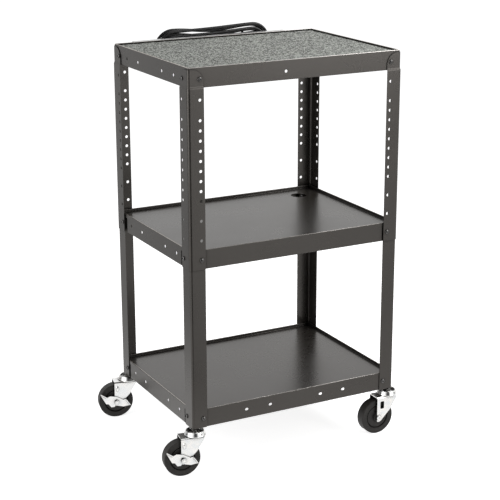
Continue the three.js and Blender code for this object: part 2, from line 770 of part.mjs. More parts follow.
// Prints the hank's length and its least gap to itself
function printHank() {
  const points = hankPoints(measureSteps);
  const travelled = [0];
  points.slice(1).forEach((point, i) => travelled.push(travelled[i] + point.distanceTo(points[i])));
  let least = Infinity;
  points.forEach((a, i) => {
    for (let j = i + 1; j < points.length; j += 1) {
      const apart = travelled[j] - travelled[i] > Math.PI * hankRadius;
      if (apart) least = Math.min(least, a.distanceTo(points[j]));
    }
  });
  console.log("hank length", travelled.at(-1).toFixed(0), "least gap", (least - cordDiameter).toFixed(2));
}

// A lead along chosen points
function lead(points, steps) {
  const places = points.map((point) => new THREE.Vector3(...point));
  const extrudePath = new THREE.CatmullRomCurve3(places, false, "centripetal");
  const circle = arcPoints([0, 0], cordDiameter / 2, 0, 360, leadSides).slice(1);
  const section = new THREE.Shape(circle.map(([x, y]) => new THREE.Vector2(x, y)));
  console.log("lead length", extrudePath.getLength().toFixed(0));
  return solidOf(new THREE.ExtrudeGeometry(section, { steps, bevelEnabled: false, extrudePath }));
}

// From the gland under the housing down and round into the hank's first run
function supplyLead() {
  const y = (housingFront + housingBack) / 2;
  const top = housingFoot - glandLength - clearance;
  const [endX, endY, endZ] = hankEnds().start;
  const joint = endX - clearance;
  return lead([
    [glandPlace, y, top], [glandPlace, y, top - cordDiameter], [-146, 253, 975], [-134, 259, 962],
    [-116, 266, 953], [-95, 274, 949], [-73, 280, 950], [-52, endY, 955], [-34, endY, 962],
    [-16, endY, 969.5], [joint - cordDiameter / 2, endY, endZ], [joint, endY, endZ],
  ], supplySteps);
}

// From the hank's last run on and down to the plug
function plugLead() {
  const [startX, startY, startZ] = hankEnds().end;
  const joint = startX + clearance;
  const [top, above] = [clearance, cordDiameter].map((rise) => {
    const angle = THREE.MathUtils.degToRad(plugTilt);
    return [plugPlace - rise * Math.sin(angle), startY, plugTop + rise * Math.cos(angle)];
  });
  return lead([
    [joint, startY, startZ], [joint + cordDiameter / 2, startY, startZ], [45, startY, 961], above, top,
  ], plugSteps);
}

// Plug with two blades and a ground pin, along Z with the top of its neck at height 0
function powerPlug() {
  const neckFoot = -plugNeckLength;
  const foot = neckFoot - plugLength;
  const tip = foot - bladeLength;
  const half = plugWidth / 2;
  const neck = bar(
    [0, 0, neckFoot - plugNeckLength / 2], [0, 0, 0], plugNeckDiameter, turnedSides, cordDiameter);
  const body = block([-half, -plugThickness / 2, foot], [half, plugThickness / 2, neckFoot]);
  const blades = bothSides.map((side) => {
    const middle = (side * slotPairSpacing) / 2;
    return block(
      [middle - bladeSheet / 2, -bladeWidth / 2, tip],
      [middle + bladeSheet / 2, bladeWidth / 2, foot + bladeSheet]);
  });
  const y = groundHoleDrop;
  const pin = bar([0, y, tip], [0, y, foot + bladeSheet], groundPinDiameter, leadSides);
  return joined([neck, body, ...blades, pin]);
}

// Assembly
const cart = new THREE.Group();

function place(parent, name, solid, material, position = [0, 0, 0]) {
  const mesh = new THREE.Mesh(geometryOf(solid), material);
  mesh.name = name;
  mesh.position.set(...position);
  parent.add(mesh);
  return mesh;
}

function placeShelves() {
  place(cart, "top_shelf", topShelf(), charcoal, [0, 0, cartHeight]);
  place(cart, "top_mat", topMat(), matRubber, [0, 0, cartHeight]);
  place(cart, "middle_shelf", middleShelf(), charcoal, [0, 0, middleShelfTop]);
  place(cart, "bottom_shelf", bottomShelf(), charcoal, [0, 0, bottomShelfTop]);
}

function placeLegs() {
  const upper = upperLeg();
  const lower = lowerLeg();
  corners.forEach(({ name, sideX, sideY }) => {
    place(cart, `upper_leg_${name}`, upper, charcoal).scale.set(sideX, sideY, 1);
    place(cart, `lower_leg_${name}`, lower, charcoal).scale.set(sideX, sideY, 1);
  });
}

function placeBolts() {
  const levels = [
    { level: "top", z: topBoltHeight, faceX: lowerLegX, faceY: lowerLegY },
    { level: "middle", z: middleBoltHeight, faceX: upperLegX, faceY: upperLegY },
    { level: "bottom", z: bottomBoltHeight, faceX: lowerLegX, faceY: lowerLegY },
  ];
  levels.forEach(({ level, z, faceX, faceY }) => {
    const solid = bolt(faceX - flangeX + shelfSheet);
    corners.forEach(({ name, sideX, sideY }) => {
      const onLong = [sideX * boltX, sideY * faceY, z];
      const onShort = [sideX * faceX, sideY * boltY, z];
      const long = place(cart, `${level}_bolt_${name}_long`, solid, blackBolt, onLong);
      const short = place(cart, `${level}_bolt_${name}_short`, solid, blackBolt, onShort);
      long.rotation.x = (-sideY * Math.PI) / 2;
      short.rotation.y = (sideX * Math.PI) / 2;
    });
  });
}

function placeCasters() {
  const lever = brakeLever();
  corners.forEach(({ name, sideX, sideY, yaw, braked }) => {
    const caster = new THREE.Group();
    caster.position.set(sideX * stemX, sideY * stemY, 0);
    caster.rotation.z = THREE.MathUtils.degToRad(180 + yaw);
    place(caster, `caster_stem_${name}`, casterStem(), zinc);
    place(caster, `caster_fork_${name}`, fork(braked), zinc);
    const axis = new THREE.Group();
    axis.position.set(casterTrail, 0, wheelRadius);
    axis.rotation.x = -Math.PI / 2;
    place(axis, `caster_wheel_${name}`, wheel(), tyreRubber).rotation.z = Math.PI / wheelSides;
    place(axis, `caster_axle_${name}`, axle(braked), zinc);
    if (braked) place(axis, `brake_lever_${name}`, lever, zinc).scale.y = -1;
    caster.add(axis);
    cart.add(caster);
  });
}

function placePower() {
  place(cart, "outlet_housing", outletHousing(), housingGrey);
  place(cart, "cord_bracket", cordBracket(), charcoal);
  place(cart, "cord_hank", cordHank(), cordBlack);
  place(cart, "supply_lead", supplyLead(), cordBlack);
  place(cart, "plug_lead", plugLead(), cordBlack);
  const plug = place(cart, "power_plug", powerPlug(), cordBlack, [plugPlace, hankEnds().end[1], plugTop]);
  plug.rotation.y = THREE.MathUtils.degToRad(-plugTilt);
}

placeShelves();
placeLegs();
placeBolts();
placeCasters();
placePower();

// The origin stands on the floor under the middle of the cart without its cord
const cordNames = ["cord_hank", "supply_lead", "plug_lead", "power_plug"];
const whole = new THREE.Group();
whole.add(cart);
cart.updateMatrixWorld(true);
const bounds = new THREE.Box3();
cart.traverse((mesh) => {
  if (mesh.isMesh && !cordNames.includes(mesh.name)) bounds.expandByObject(mesh, true);
});
const middle = bounds.getCenter(new THREE.Vector3());
cart.position.set(-middle.x, -middle.y, 0);

export default whole;
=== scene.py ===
"""Audio visual cart: three steel trays on perforated angle legs, swivel casters, a mat and a wound cord.

Metres. X runs along the cart, Y from front to back, Z up from the floor.
"""
import json
import math

import bmesh
import bpy
from mathutils import Matrix, Vector


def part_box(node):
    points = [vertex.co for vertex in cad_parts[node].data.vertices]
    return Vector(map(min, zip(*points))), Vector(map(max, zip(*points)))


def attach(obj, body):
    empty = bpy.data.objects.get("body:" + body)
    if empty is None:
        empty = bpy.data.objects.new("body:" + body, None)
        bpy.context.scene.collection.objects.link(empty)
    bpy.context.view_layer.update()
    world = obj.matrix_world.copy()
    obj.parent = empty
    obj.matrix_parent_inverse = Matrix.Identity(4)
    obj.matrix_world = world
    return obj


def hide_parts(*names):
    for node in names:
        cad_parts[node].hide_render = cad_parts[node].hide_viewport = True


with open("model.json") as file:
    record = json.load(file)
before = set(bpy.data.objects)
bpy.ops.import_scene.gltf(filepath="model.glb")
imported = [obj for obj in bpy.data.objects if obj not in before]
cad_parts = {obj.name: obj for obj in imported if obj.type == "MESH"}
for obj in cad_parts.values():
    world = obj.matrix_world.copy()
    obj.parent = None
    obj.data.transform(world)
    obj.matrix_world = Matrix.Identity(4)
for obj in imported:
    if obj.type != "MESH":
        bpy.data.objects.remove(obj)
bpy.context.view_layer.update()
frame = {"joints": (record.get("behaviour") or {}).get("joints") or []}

# Camera, fitted to the hole rows of the legs
CAMERA_PLACE = (-1.74134, -3.35167, 1.63509)
CAMERA_AZIMUTH = -27.837
CAMERA_ELEVATION = 16.67
CAMERA_ROLL = -0.143
FOCAL_PIXELS = 1432.2
PICTURE_PIXELS = 500
SENSOR_WIDTH = 0.036
CAMERA_REACH = 50

# Whole cart
CLEARANCE = 0.0003
OVERRUN = 0.006

# Shelves
FLANGE_HEIGHT = 0.0508
SHELF_SHEET = 0.0012
TRAY_DEPTH = 0.008
RIM_WIDTH = 0.0032
RETURN_WIDTH = 0.012
SHELF_CORNER = 0.0037
RETURN_BEND = 0.0016
TRAY_COVE = 0.0014
SMALLEST_CORNER = 0.0006
SHELF_EDGE = 0.0002
SIDE_HOLE_PLACES = (0.0741, 0.1437)
SLOT_DIAMETER = 0.007
SLOT_LENGTH = 0.010
FRONT_SLOT_PLACES = (0.077, 0.148)
FRONT_HOLE_PLACE = -0.034
CORD_HOLE_DIAMETER = 0.0445
CORD_HOLE_PLACE = (0.228, 0.162)
MIDDLE_FRONT_RELIEF = 0.002
BOTTOM_FRONT_RELIEF = 0.0008
MIDDLE_RELIEF = 0.0128
BOTTOM_RELIEF = 0.0075
RELIEF_POCKET = 0.012
MAT_MARGIN = 0.001
MAT_THICKNESS = 0.003
MAT_EDGE = 0.0009
SOCKET_DIAMETER = 0.0158
SOCKET_HEIGHT = 0.036
SOCKET_BORE = 0.0116

# Legs
LEG_SHEET = 0.0016
LEG_BEND = 0.0075
LEG_STEP = LEG_SHEET + CLEARANCE
LEG_FRONT_WIDTH = 0.044
LEG_SIDE_WIDTH = 0.0468
LEG_TOP_DROP = 0.0053
LEG_TOP_RADIUS = 0.031
LEG_FOOT_RADIUS = 0.004
LEG_EDGE = 0.0004
JOGGLE_DROP = 0.0462
JOGGLE_HEIGHT = 0.0068

# Hole rows and bolts
HOLE_PITCH = 0.0254
HOLE_DIAMETER = 0.0079
HOLE_STEPS = (0, 2, 3, 4, 5, 6, 7, 8, 9, 10, 12, 14, 16)
TOP_BOLT_STEPS = 2
TOP_BOLT_DROP = 0.029
BOLT_DROP = 0.0254
BOLT_FROM_FRONT_CORNER = 0.0332
BOLT_FROM_SIDE_CORNER = 0.0371
BOLT_DIAMETER = 0.0062
BOLT_HEAD_DIAMETER = 0.0114
BOLT_HEAD_HEIGHT = 0.0034
BOLT_SOCKET_WIDTH = 0.004
BOLT_SOCKET_DEPTH = 0.0018
BOLT_NUT_WIDTH = 0.011
BOLT_NUT_HEIGHT = 0.0054
BOLT_NUT_CHAMFER = 0.0007
BOLT_END = 0.0016
THREAD_PITCH = 0.00127
THREAD_DEPTH = 0.0003
BOLT_DOME_ANGLES = (0, 15, 30, 45, 58)

# Casters, about the stem's axis, with the wheel trailing along X
WHEEL_DIAMETER = 0.098
WHEEL_WIDTH = 0.028
WHEEL_HUB_WIDTH = 0.0352
WHEEL_HUB_DIAMETER = 0.024
WHEEL_FACE_WIDTH = 0.022
WHEEL_GROOVE_DIAMETER = 0.066
WHEEL_GROOVE_DEPTH = 0.0012
WHEEL_SHOULDER = 0.0026
CASTER_TRAIL = 0.038
CROWN_TOP = 0.108
FORK_WIDTH = 0.041
FORK_SHEET = 0.0025
FORK_BEND = 0.0045
FORK_REAR = 0.043
FORK_FRONT_FOOT = 0.103
FORK_KNEE = 0.069
FORK_AXLE_RADIUS = 0.0128
FORK_FRONT = 0.0216
FORK_EDGE = 0.0005
WINDOW_X = (0.021, 0.033)
WINDOW_Z = (0.0735, 0.095)
WINDOW_RADIUS = 0.003
BOSS_PLACE = (0.0347, 0.087)
BOSS_RADIUS = 0.0042
BOSS_STRETCH = 2.1
BOSS_HEIGHT = 0.0032
BOSS_ANGLES = (0, 20, 40, 60, 80)
CAP_DIAMETER = 0.057
CAP_TOP_DIAMETER = 0.047
CAP_HEIGHT = 0.0116
CAP_WALL = 0.0018
CAP_FLOOR = 0.0055
CAP_ROUND = 0.0008
CAP_DIMPLES = 4
DIMPLE_TURN = 20
DIMPLE_RADIUS = 0.0024
DIMPLE_REACH_SHARE = 0.96
COLLAR_DIAMETER = 0.0174
COLLAR_HEIGHT = 0.009
STEM_DIAMETER = 0.011
STEM_TOP = 0.1596
RIVET_DIAMETER = 0.018
RIVET_HEIGHT = 0.0026
RIVET_WIDTH_SHARES = (0.6, 0.9)
RIVET_RISE_SHARE = 0.6
KINGPIN_DIAMETER = 0.012
AXLE_DIAMETER = 0.008
AXLE_HEAD_DIAMETER = 0.013
AXLE_HEAD_HEIGHT = 0.003
AXLE_NUT_HEIGHT = 0.006
AXLE_END_SHARE = 0.8

# Brake lever: a two-winged pedal, its outline in the wheel's plane about the axle
LEVER_SHEET = 0.0018
LEVER_LIP = 0.0062
LEVER_FLARE = 0.0055
LEVER_FLAT = 0.012
LEVER_FLARE_POWER = 1.5
LEVER_LENGTH = 0.087
LEVER_HEIGHT = 0.046
LEVER_OUTLINE_SHARES = (
    (0.55, 0.62), (0.33, 0.34), (0.22, 0.41), (0, 0.33), (-0.15, 0.17), (-0.21, 0.1), (-0.31, 0.15),
    (-0.45, -0.25), (-0.22, -0.35), (0.05, -0.22), (0.08, -0.32), (0.19, -0.32), (0.27, -0.1), (0.36, -0.06),
)
LEVER_LIP_SHARES = (((0.53, 0.61), (0.34, 0.35)), ((-0.32, 0.12), (-0.44, -0.22)))

# Outlet housing, its gland and the hooks
HOUSING_LENGTH = 0.472
HOUSING_DEPTH = 0.042
HOUSING_HEIGHT = 0.046
HOUSING_DROP = 0.004
HOUSING_WALL = 0.0016
HOUSING_RADIUS = 0.004
OUTLET_WIDTH = 0.033
OUTLET_HEIGHT = 0.027
OUTLET_DEPTH = 0.002
OUTLET_PLACE = 0.215
SLOT_SPACING = 0.0127
BLADE_SLOT_WIDTH = 0.0018
BLADE_SLOT_HEIGHT = 0.0074
GROUND_HOLE_DIAMETER = 0.005
GROUND_DROP = 0.008
GLAND_DIAMETER = 0.015
GLAND_END_DIAMETER = 0.0115
GLAND_LENGTH = 0.021
GLAND_PLACE = -0.15
GLAND_RIBS = 5
GLAND_RIB_SHARES = ((0, 0), (0, 0.6), (1, 0.65), (1, 0.95))
BRACKET_SHEET = 0.002
BRACKET_HEIGHT = 0.014
HOOK_DIAMETER = 0.007
HOOK_PLACE = 0.102
HOOK_REACH = 0.032
HOOK_RISE = 0.017
ROD_START_SHARES = ((0.6, -0.16), (1, 0))
ROD_END_SHARES = ((1, 0), (0.87, 0.25), (0.5, 0.43))

# Cord: one length from the gland through the hank to the plug
CORD_DIAMETER = 0.0085
HANK_TURNS = 5
HANK_LAYER_PITCH = 0.0092
HANK_RADIUS = 0.024
HANK_STEP = 0.013
HANK_HALF_RUN = 0.122
HANK_WAIST_SHARE = 0.12
HANK_SAG = 0.0076
HANK_TILT = 0.002
HANK_PLACE = 0.018
HANK_CENTRE_DROP = 0.036
HANK_GAP = 0.0084
HANK_CLIMB_SHARE = 0.5
HANK_STEPS = 96
SUPPLY_POINTS = (
    (-0.146, 0.253, 0.975), (-0.134, 0.259, 0.962), (-0.116, 0.266, 0.953), (-0.095, 0.274, 0.949),
    (-0.073, 0.280, 0.950),
)
SUPPLY_END_POINTS = ((-0.052, 0.955), (-0.034, 0.962), (-0.016, 0.9695))
LEAD_SHARES = (1.5, 1)
PLUG_POINT = (0.045, 0.961)
PLUG_PLACE = 0.068
PLUG_TOP = 0.951
PLUG_TILT = 74
PLUG_LENGTH = 0.030
PLUG_WIDTH = 0.026
PLUG_THICKNESS = 0.020
PLUG_NECK_LENGTH = 0.014
PLUG_NECK_DIAMETER = 0.012
BLADE_LENGTH = 0.017
BLADE_WIDTH = 0.0063
BLADE_SHEET = 0.0015
GROUND_PIN_DIAMETER = 0.0048
PLUG_RIBS = 4
PLUG_GRIP_SHARES = ((0.92, 0), (1, 0.05), (1, 0.3))
PLUG_RIB_START_SHARE = 0.36
PLUG_RIB_STEP_SHARE = 0.12
PLUG_RIB_SHARES = ((0.9, 0), (0.9, 0.04), (0.97, 0.06), (0.97, 0.1))
PLUG_SHOULDER_SHARE = 0.9
PLUG_TOP_SHARE = 0.62
NECK_RIB_SHARES = ((0, 0.1), (0, 0.6), (1, 0.7), (1, 1))

# Finishes: how far the painted shade in corners reaches, how deep the painted highlight on the rim tops lies
# and how deep the grain lies
PAINTED_SHADE_REACH = 0.008
ZINC_PAINTED_SHADE_REACH = 0.012
PAINTED_SHADE_SAMPLES = 6
PAINTED_SHADE_DARKEST = 0.35
TOP_RIM_HIGHLIGHT_DEPTH = 0.0007
RIM_HIGHLIGHT_DEPTH = 0.0003
TRAY_PAINTED_SHADE_REACH = 0.014
PEEL_DEPTH = 0.0003
GRAIN_DEPTH = 0.0001
MOULD_DEPTH = 0.0002
PEBBLE_DEPTH = 0.003

# Stage: shares of a turn about the cart from its left side, with the brightness mirrored there
FLOOR_SIZE = 30
FLOOR_THICKNESS = 0.02
WORLD_FILL = 0.34
WHITE_REACH = 0.55
DARK_REACH = 1.3
MIRRORED = (
    (0.0, 1.0), (0.12, 1.0), (0.155, 0.05), (0.25, 0.05), (0.28, 1.0), (0.33, 1.0), (0.37, 0.7), (0.5, 0.95),
    (0.74, 1.0), (0.81, 0.66), (0.85, 0.6), (0.87, 0.35), (0.93, 0.35), (0.955, 1.0), (1.0, 1.0),
)
LAMP_TARGET = (0, 0, 0.6)
LAMPS = (
    ("overhead", (1.6, -0.5, 2.2), (1.4, 1.4), 36),
    ("left side", (-3.0, -0.6, 1.4), (1.6, 2.2), 32),
    ("front right", (1.8, -3.0, 1.6), (1.4, 2.0), 22),
)

# Counts of sides and steps
HOLE_SIDES = 24
CORD_HOLE_SIDES = 48
BEND_STEPS = 6
ROUND_SIDES = 32
WHEEL_SIDES = 96
HEX_SIDES = 6
ARC_STEPS = 16
THREAD_SIDES = 16
CAP_SIDES = 64
BALL_SIDES = 16
SPLINE_STEPS = 10
CORD_BEVEL_STEPS = 6
SOFT_SEGMENTS = 2
SOFT_ANGLE = math.radians(40)
SMOOTH_ANGLE = math.radians(32)

# Places that follow from the frame
top_low, top_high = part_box("top_shelf")
MIDDLE = (top_low + top_high) / 2
FLANGE_X = (top_high.x - top_low.x) / 2
FLANGE_Y = (top_high.y - top_low.y) / 2
CART_HEIGHT = top_high.z
MIDDLE_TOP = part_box("middle_shelf")[1].z
BOTTOM_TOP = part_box("bottom_shelf")[1].z
BOTTOM_FOOT = BOTTOM_TOP - FLANGE_HEIGHT
LOWER_X = FLANGE_X + LEG_STEP
LOWER_Y = FLANGE_Y + LEG_STEP
UPPER_X = LOWER_X + LEG_STEP
UPPER_Y = LOWER_Y + LEG_STEP
EDGE_X = UPPER_X - LEG_FRONT_WIDTH
EDGE_Y = UPPER_Y - LEG_SIDE_WIDTH
BOLT_X = UPPER_X - BOLT_FROM_FRONT_CORNER
BOLT_Y = UPPER_Y - BOLT_FROM_SIDE_CORNER
TOP_BOLT_Z = CART_HEIGHT - TOP_BOLT_DROP
FIRST_HOLE_Z = TOP_BOLT_Z - TOP_BOLT_STEPS * HOLE_PITCH
MIDDLE_BOLT_Z = MIDDLE_TOP - BOLT_DROP
BOTTOM_BOLT_Z = BOTTOM_TOP - BOLT_DROP
HOUSING_FRONT = FLANGE_Y + CLEARANCE
HOUSING_BACK = HOUSING_FRONT + HOUSING_DEPTH
HOUSING_MIDDLE = CART_HEIGHT - HOUSING_DROP - HOUSING_HEIGHT / 2
HOUSING_FOOT = HOUSING_MIDDLE - HOUSING_HEIGHT / 2
HANK_HEIGHT = CART_HEIGHT - HANK_CENTRE_DROP
HANK_FIRST_LAYER = HOUSING_BACK + HANK_GAP + CORD_DIAMETER / 2
SIDES = (-1, 1)
CORNERS = {"front_left": (-1, -1), "front_right": (1, -1), "back_left": (-1, 1), "back_right": (1, 1)}
BRAKED = ("front_left", "back_left")
AT_CART = Matrix.Translation((MIDDLE.x, MIDDLE.y, 0))
SWAPPED = Matrix(((0, 1, 0, 0), (1, 0, 0, 0), (0, 0, 1, 0), (0, 0, 0, 1)))


# Meshes
def loft(rings, closed=False):
    """Faces between rings of as many points each, closed at both ends or round on itself."""
    bm = bmesh.new()
    rows = [[bm.verts.new(point) for point in ring] for ring in rings]
    pairs = list(zip(rows, rows[1:]))
    if closed:
        pairs.append((rows[-1], rows[0]))
    for lower, upper in pairs:
        for i, vertex in enumerate(lower):
            j = (i + 1) % len(lower)
            bm.faces.new((vertex, lower[j], upper[j], upper[i]))
    if not closed:
        bm.faces.new(list(reversed(rows[0])))
        bm.faces.new(rows[-1])
    return mesh_of(bm)


def mesh_of(bm):
    """A mesh with its doubled points merged and its faces turned out."""
    bmesh.ops.remove_doubles(bm, verts=bm.verts, dist=CLEARANCE / 100)
    bmesh.ops.recalc_face_normals(bm, faces=bm.faces)
    mesh = bpy.data.meshes.new("shape")
    bm.to_mesh(mesh)
    bm.free()
    return mesh


def around(sides, offset=0):
    """Angles all round, the first one by an offset of steps."""
    return [2 * math.pi * (i + offset) / sides for i in range(sides)]


def circle(radius, z, angles):
    return [(radius * math.cos(a), radius * math.sin(a), z) for a in angles]


def revolved(profile, sides=ROUND_SIDES, closed=False):
    """A profile of (radius, height) turned about Z; an open one starts and ends on the axis."""
    angles = around(sides)
    return loft([circle(r, z, angles) for r, z in profile], closed)


def prism(outline, low, high):
    """An outline in X and Y drawn up from low to high."""
    return loft([[(x, y, z) for x, y in outline] for z in (low, high)])


def upright(outline, low, high):
    """An outline in X and Z drawn along Y from low to high."""
    return loft([[(x, y, z) for x, z in outline] for y in (low, high)])


def block(low, high):
    (x0, y0, z0), (x1, y1, z1) = low, high
    return prism([(x0, y0), (x1, y0), (x1, y1), (x0, y1)], z0, z1)


def bar(start, end, diameter, sides=HOLE_SIDES, end_diameter=None):
    """A round bar between two points."""
    start, end = Vector(start), Vector(end)
    axis = end - start
    last = diameter if end_diameter is None else end_diameter
    mesh = revolved([(0, 0), (diameter / 2, 0), (last / 2, axis.length), (0, axis.length)], sides)
    mesh.transform(Matrix.Translation(start) @ axis.to_track_quat("Z", "Y").to_matrix().to_4x4())
    return mesh


def arc(centre, radius, start, end, steps=BEND_STEPS):
    """Points on an arc, from start to end in degrees."""
    angles = [math.radians(start + (end - start) * i / steps) for i in range(steps + 1)]
    return [(centre[0] + radius * math.cos(a), centre[1] + radius * math.sin(a)) for a in angles]


def rounded(half_x, half_y, radius, steps=BEND_STEPS):
    """A rectangle about the origin with round corners."""
    x, y = half_x - radius, half_y - radius
    corners = (((x, y), 0), ((-x, y), 90), ((-x, -y), 180), ((x, -y), 270))
    return [point for centre, start in corners for point in arc(centre, radius, start, start + 90, steps)]


def shifted(outline, across, up):
    return [(x + across, z + up) for x, z in outline]


def placed(name, data):
    """A new object in the scene."""
    item = bpy.data.objects.new(name, data)
    bpy.context.collection.objects.link(item)
    return item


def joined(meshes):
    """Several meshes as one, without joining their surfaces."""
    bm = bmesh.new()
    for mesh in meshes:
        bm.from_mesh(mesh)
    result = bpy.data.meshes.new("shape")
    bm.to_mesh(result)
    bm.free()
    return result


def combined(mesh, tools, operation="DIFFERENCE"):
    """A mesh after a boolean with tools that don't touch each other."""
    base = placed("base", mesh)
    tool = placed("tool", joined(tools))
    modifier = base.modifiers.new("boolean", "BOOLEAN")
    modifier.operation = operation
    modifier.solver = "MANIFOLD"
    modifier.object = tool
    result = applied(base)
    bpy.data.objects.remove(tool)
    bpy.data.objects.remove(base)
    return result


def applied(item):
    """An object's mesh with its modifiers applied."""
    graph = bpy.context.evaluated_depsgraph_get()
    return bpy.data.meshes.new_from_object(item.evaluated_get(graph))


def softened(mesh, width):
    """A mesh with its sharp edges rounded."""
    item = placed("soft", mesh)
    modifier = item.modifiers.new("round", "BEVEL")
    modifier.width = width
    modifier.segments = SOFT_SEGMENTS
    modifier.limit_method = "ANGLE"
    modifier.angle_limit = SOFT_ANGLE
    result = applied(item)
    bpy.data.objects.remove(item)
    return result


def moved(mesh, matrix):
    """A copy of a mesh under a matrix, turned right side out where the matrix mirrors it."""
    copy = mesh.copy()
    copy.transform(matrix)
    if matrix.determinant() < 0:
        copy.flip_normals()
    return copy


def piece(name, mesh, material, body, nodes=(), weighted=True):
    """A finished piece of the cart that rides on a body."""
    mesh.materials.clear()
    mesh.materials.append(material)
    mesh.polygons.foreach_set("use_smooth", [True] * len(mesh.polygons))
    mesh.set_sharp_from_angle(angle=SMOOTH_ANGLE)
    item = placed(name, mesh)
    if weighted:
        modifier = item.modifiers.new("flat faces", "WEIGHTED_NORMAL")
        modifier.keep_sharp = True
    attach(item, body)
    if nodes:
        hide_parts(*nodes)
    return item


# Materials
def feed(owner, item, inputs):
    """Sets a node's inputs to plain values or links them to outputs."""
    for key, value in inputs.items():
        if isinstance(value, bpy.types.NodeSocket):
            owner.node_tree.links.new(value, item.inputs[key])
        else:
            item.inputs[key].default_value = value


def node(owner, kind, output, inputs, **settings):
    """An output of a new shader node with these settings and inputs."""
    item = owner.node_tree.nodes.new(f"ShaderNode{kind}")
    for key, value in settings.items():
        setattr(item, key, value)
    feed(owner, item, inputs)
    return item.outputs[output]


def new_material(name, colour, roughness, metallic=0.0):
    """A material and its shader, plain so far."""
    material = bpy.data.materials.new(name)
    material.use_nodes = True
    shader = material.node_tree.nodes["Principled BSDF"]
    feed(material, shader, {"Base Color": (*colour, 1), "Roughness": roughness, "Metallic": metallic})
    return material, shader


def noise(material, scale, detail, stretch=(1, 1, 1)):
    """Noise in the piece's own metres."""
    place = node(material, "TexCoord", "Object", {})
    mapped = node(material, "Mapping", "Vector", {"Scale": stretch, "Vector": place})
    return node(material, "TexNoise", "Fac", {"Scale": scale, "Detail": detail, "Vector": mapped})


def ramp(material, value, stops):
    """Colours between positions of a value."""
    result = node(material, "ValToRGB", "Color", {"Fac": value})
    elements = result.node.color_ramp.elements
    for element, (position, colour) in zip(elements, (stops[0], stops[-1])):
        element.position = position
        element.color = (*colour, 1)
    for position, colour in stops[1:-1]:
        elements.new(position).color = (*colour, 1)
    return result


def spread(material, value, low, high):
    """A value from 0 to 1 taken to a range."""
    return node(material, "MapRange", "Result", {"Value": value, "To Min": low, "To Max": high})


def bumps(material, shader, heights):
    """Bump from (value, distance, strength) in turn."""
    normal = {}
    for value, distance, strength in heights:
        inputs = {"Height": value, "Distance": distance, "Strength": strength, **normal}
        normal = {"Normal": node(material, "Bump", "Normal", inputs)}
    feed(material, shader, normal)


def painted_corner_shade(material, shader, colour, reach):
    """Painted shade: colour and gloss darkened in corners and narrow gaps, where ambient occlusion finds
    them.
    """
    sky = node(material, "AmbientOcclusion", "AO", {"Distance": reach}, samples=PAINTED_SHADE_SAMPLES)
    shade = node(material, "MapRange", "Result", {"Value": sky, "From Min": PAINTED_SHADE_DARKEST, "To Min": 0.0})
    dimmed = node(material, "Mix", "Result", {"Factor": 1.0, "A": colour, "B": shade},
                  data_type="RGBA", blend_type="MULTIPLY")
    feed(material, shader, {"Base Color": dimmed, "Specular IOR Level": spread(material, shade, 0.0, 0.5)})


def grey(level, warmth=0.0):
    return (level * (1 + warmth), level, level * (1 - warmth))


def powder_coat(name="charcoal powder coat", rim_tops=()):
    """Semi-gloss charcoal powder coat: orange peel, faint cloudiness, painted corner shade and a painted
    highlight on rim tops.
    """
    material, shader = new_material(name, grey(0.013, 0.15), 0.3)
    cloud = noise(material, 9, 3)
    peel = noise(material, 700, 2)
    grain = noise(material, 2600, 1)
    colour = ramp(material, cloud, ((0.3, grey(0.011, 0.15)), (0.7, grey(0.016, 0.12))))
    if rim_tops:
        colour = painted_rim_highlight(material, shader, colour, rim_tops)
    painted_corner_shade(material, shader, colour, TRAY_PAINTED_SHADE_REACH if rim_tops else PAINTED_SHADE_REACH)
    feed(material, shader, {"IOR": 1.7, "Specular Tint": (1.0, 0.94, 0.88, 1),
                            "Roughness": spread(material, cloud, 0.24, 0.32)})
    bumps(material, shader, ((peel, PEEL_DEPTH, 0.08), (grain, GRAIN_DEPTH, 0.06)))
    return material


def painted_rim_highlight(material, shader, colour, heights):
    """Painted highlight: pale metal along the crowns of the rims, at the heights of their tops."""
    place = node(material, "TexCoord", "Object", {})
    level = node(material, "SeparateXYZ", "Z", {"Vector": place})
    highlight_mask, *others = [node(material, "Math", "Value", {0: level, 1: height, 2: depth}, operation="COMPARE")
                     for height, depth in heights]
    for other in others:
        highlight_mask = node(material, "Math", "Value", {0: highlight_mask, 1: other}, operation="MAXIMUM")
    feed(material, shader, {"Metallic": highlight_mask})
    highlight_metal = (*grey(0.5, 0.04), 1)
    return node(material, "Mix", "Result", {"Factor": highlight_mask, "A": colour, "B": highlight_metal}, data_type="RGBA")


def zinc_plate():
    """Bright zinc plate: bluish, with a faint yellow cast, a soft grain and painted shade in corners and
    gaps.
    """
    material, shader = new_material("zinc plate", grey(0.8), 0.28, 1.0)
    cast = noise(material, 60, 3)
    grain = noise(material, 900, 3)
    colour = ramp(material, cast, ((0.35, (0.86, 0.87, 0.87)), (0.65, (0.95, 0.93, 0.9))))
    painted_corner_shade(material, shader, colour, ZINC_PAINTED_SHADE_REACH)
    feed(material, shader, {"Roughness": spread(material, grain, 0.16, 0.26)})
    bumps(material, shader, ((grain, GRAIN_DEPTH, 0.06),))
    return material


def black_oxide():
    """Black oxide on the bolts, a little worn to bare steel in random patches."""
    material, shader = new_material("black oxide", grey(0.12), 0.26, 1.0)
    wear = noise(material, 500, 3)
    colour = ramp(material, wear, ((0.4, grey(0.09)), (0.75, grey(0.2, 0.05))))
    feed(material, shader, {"Base Color": colour, "Roughness": spread(material, wear, 0.2, 0.36)})
    return material


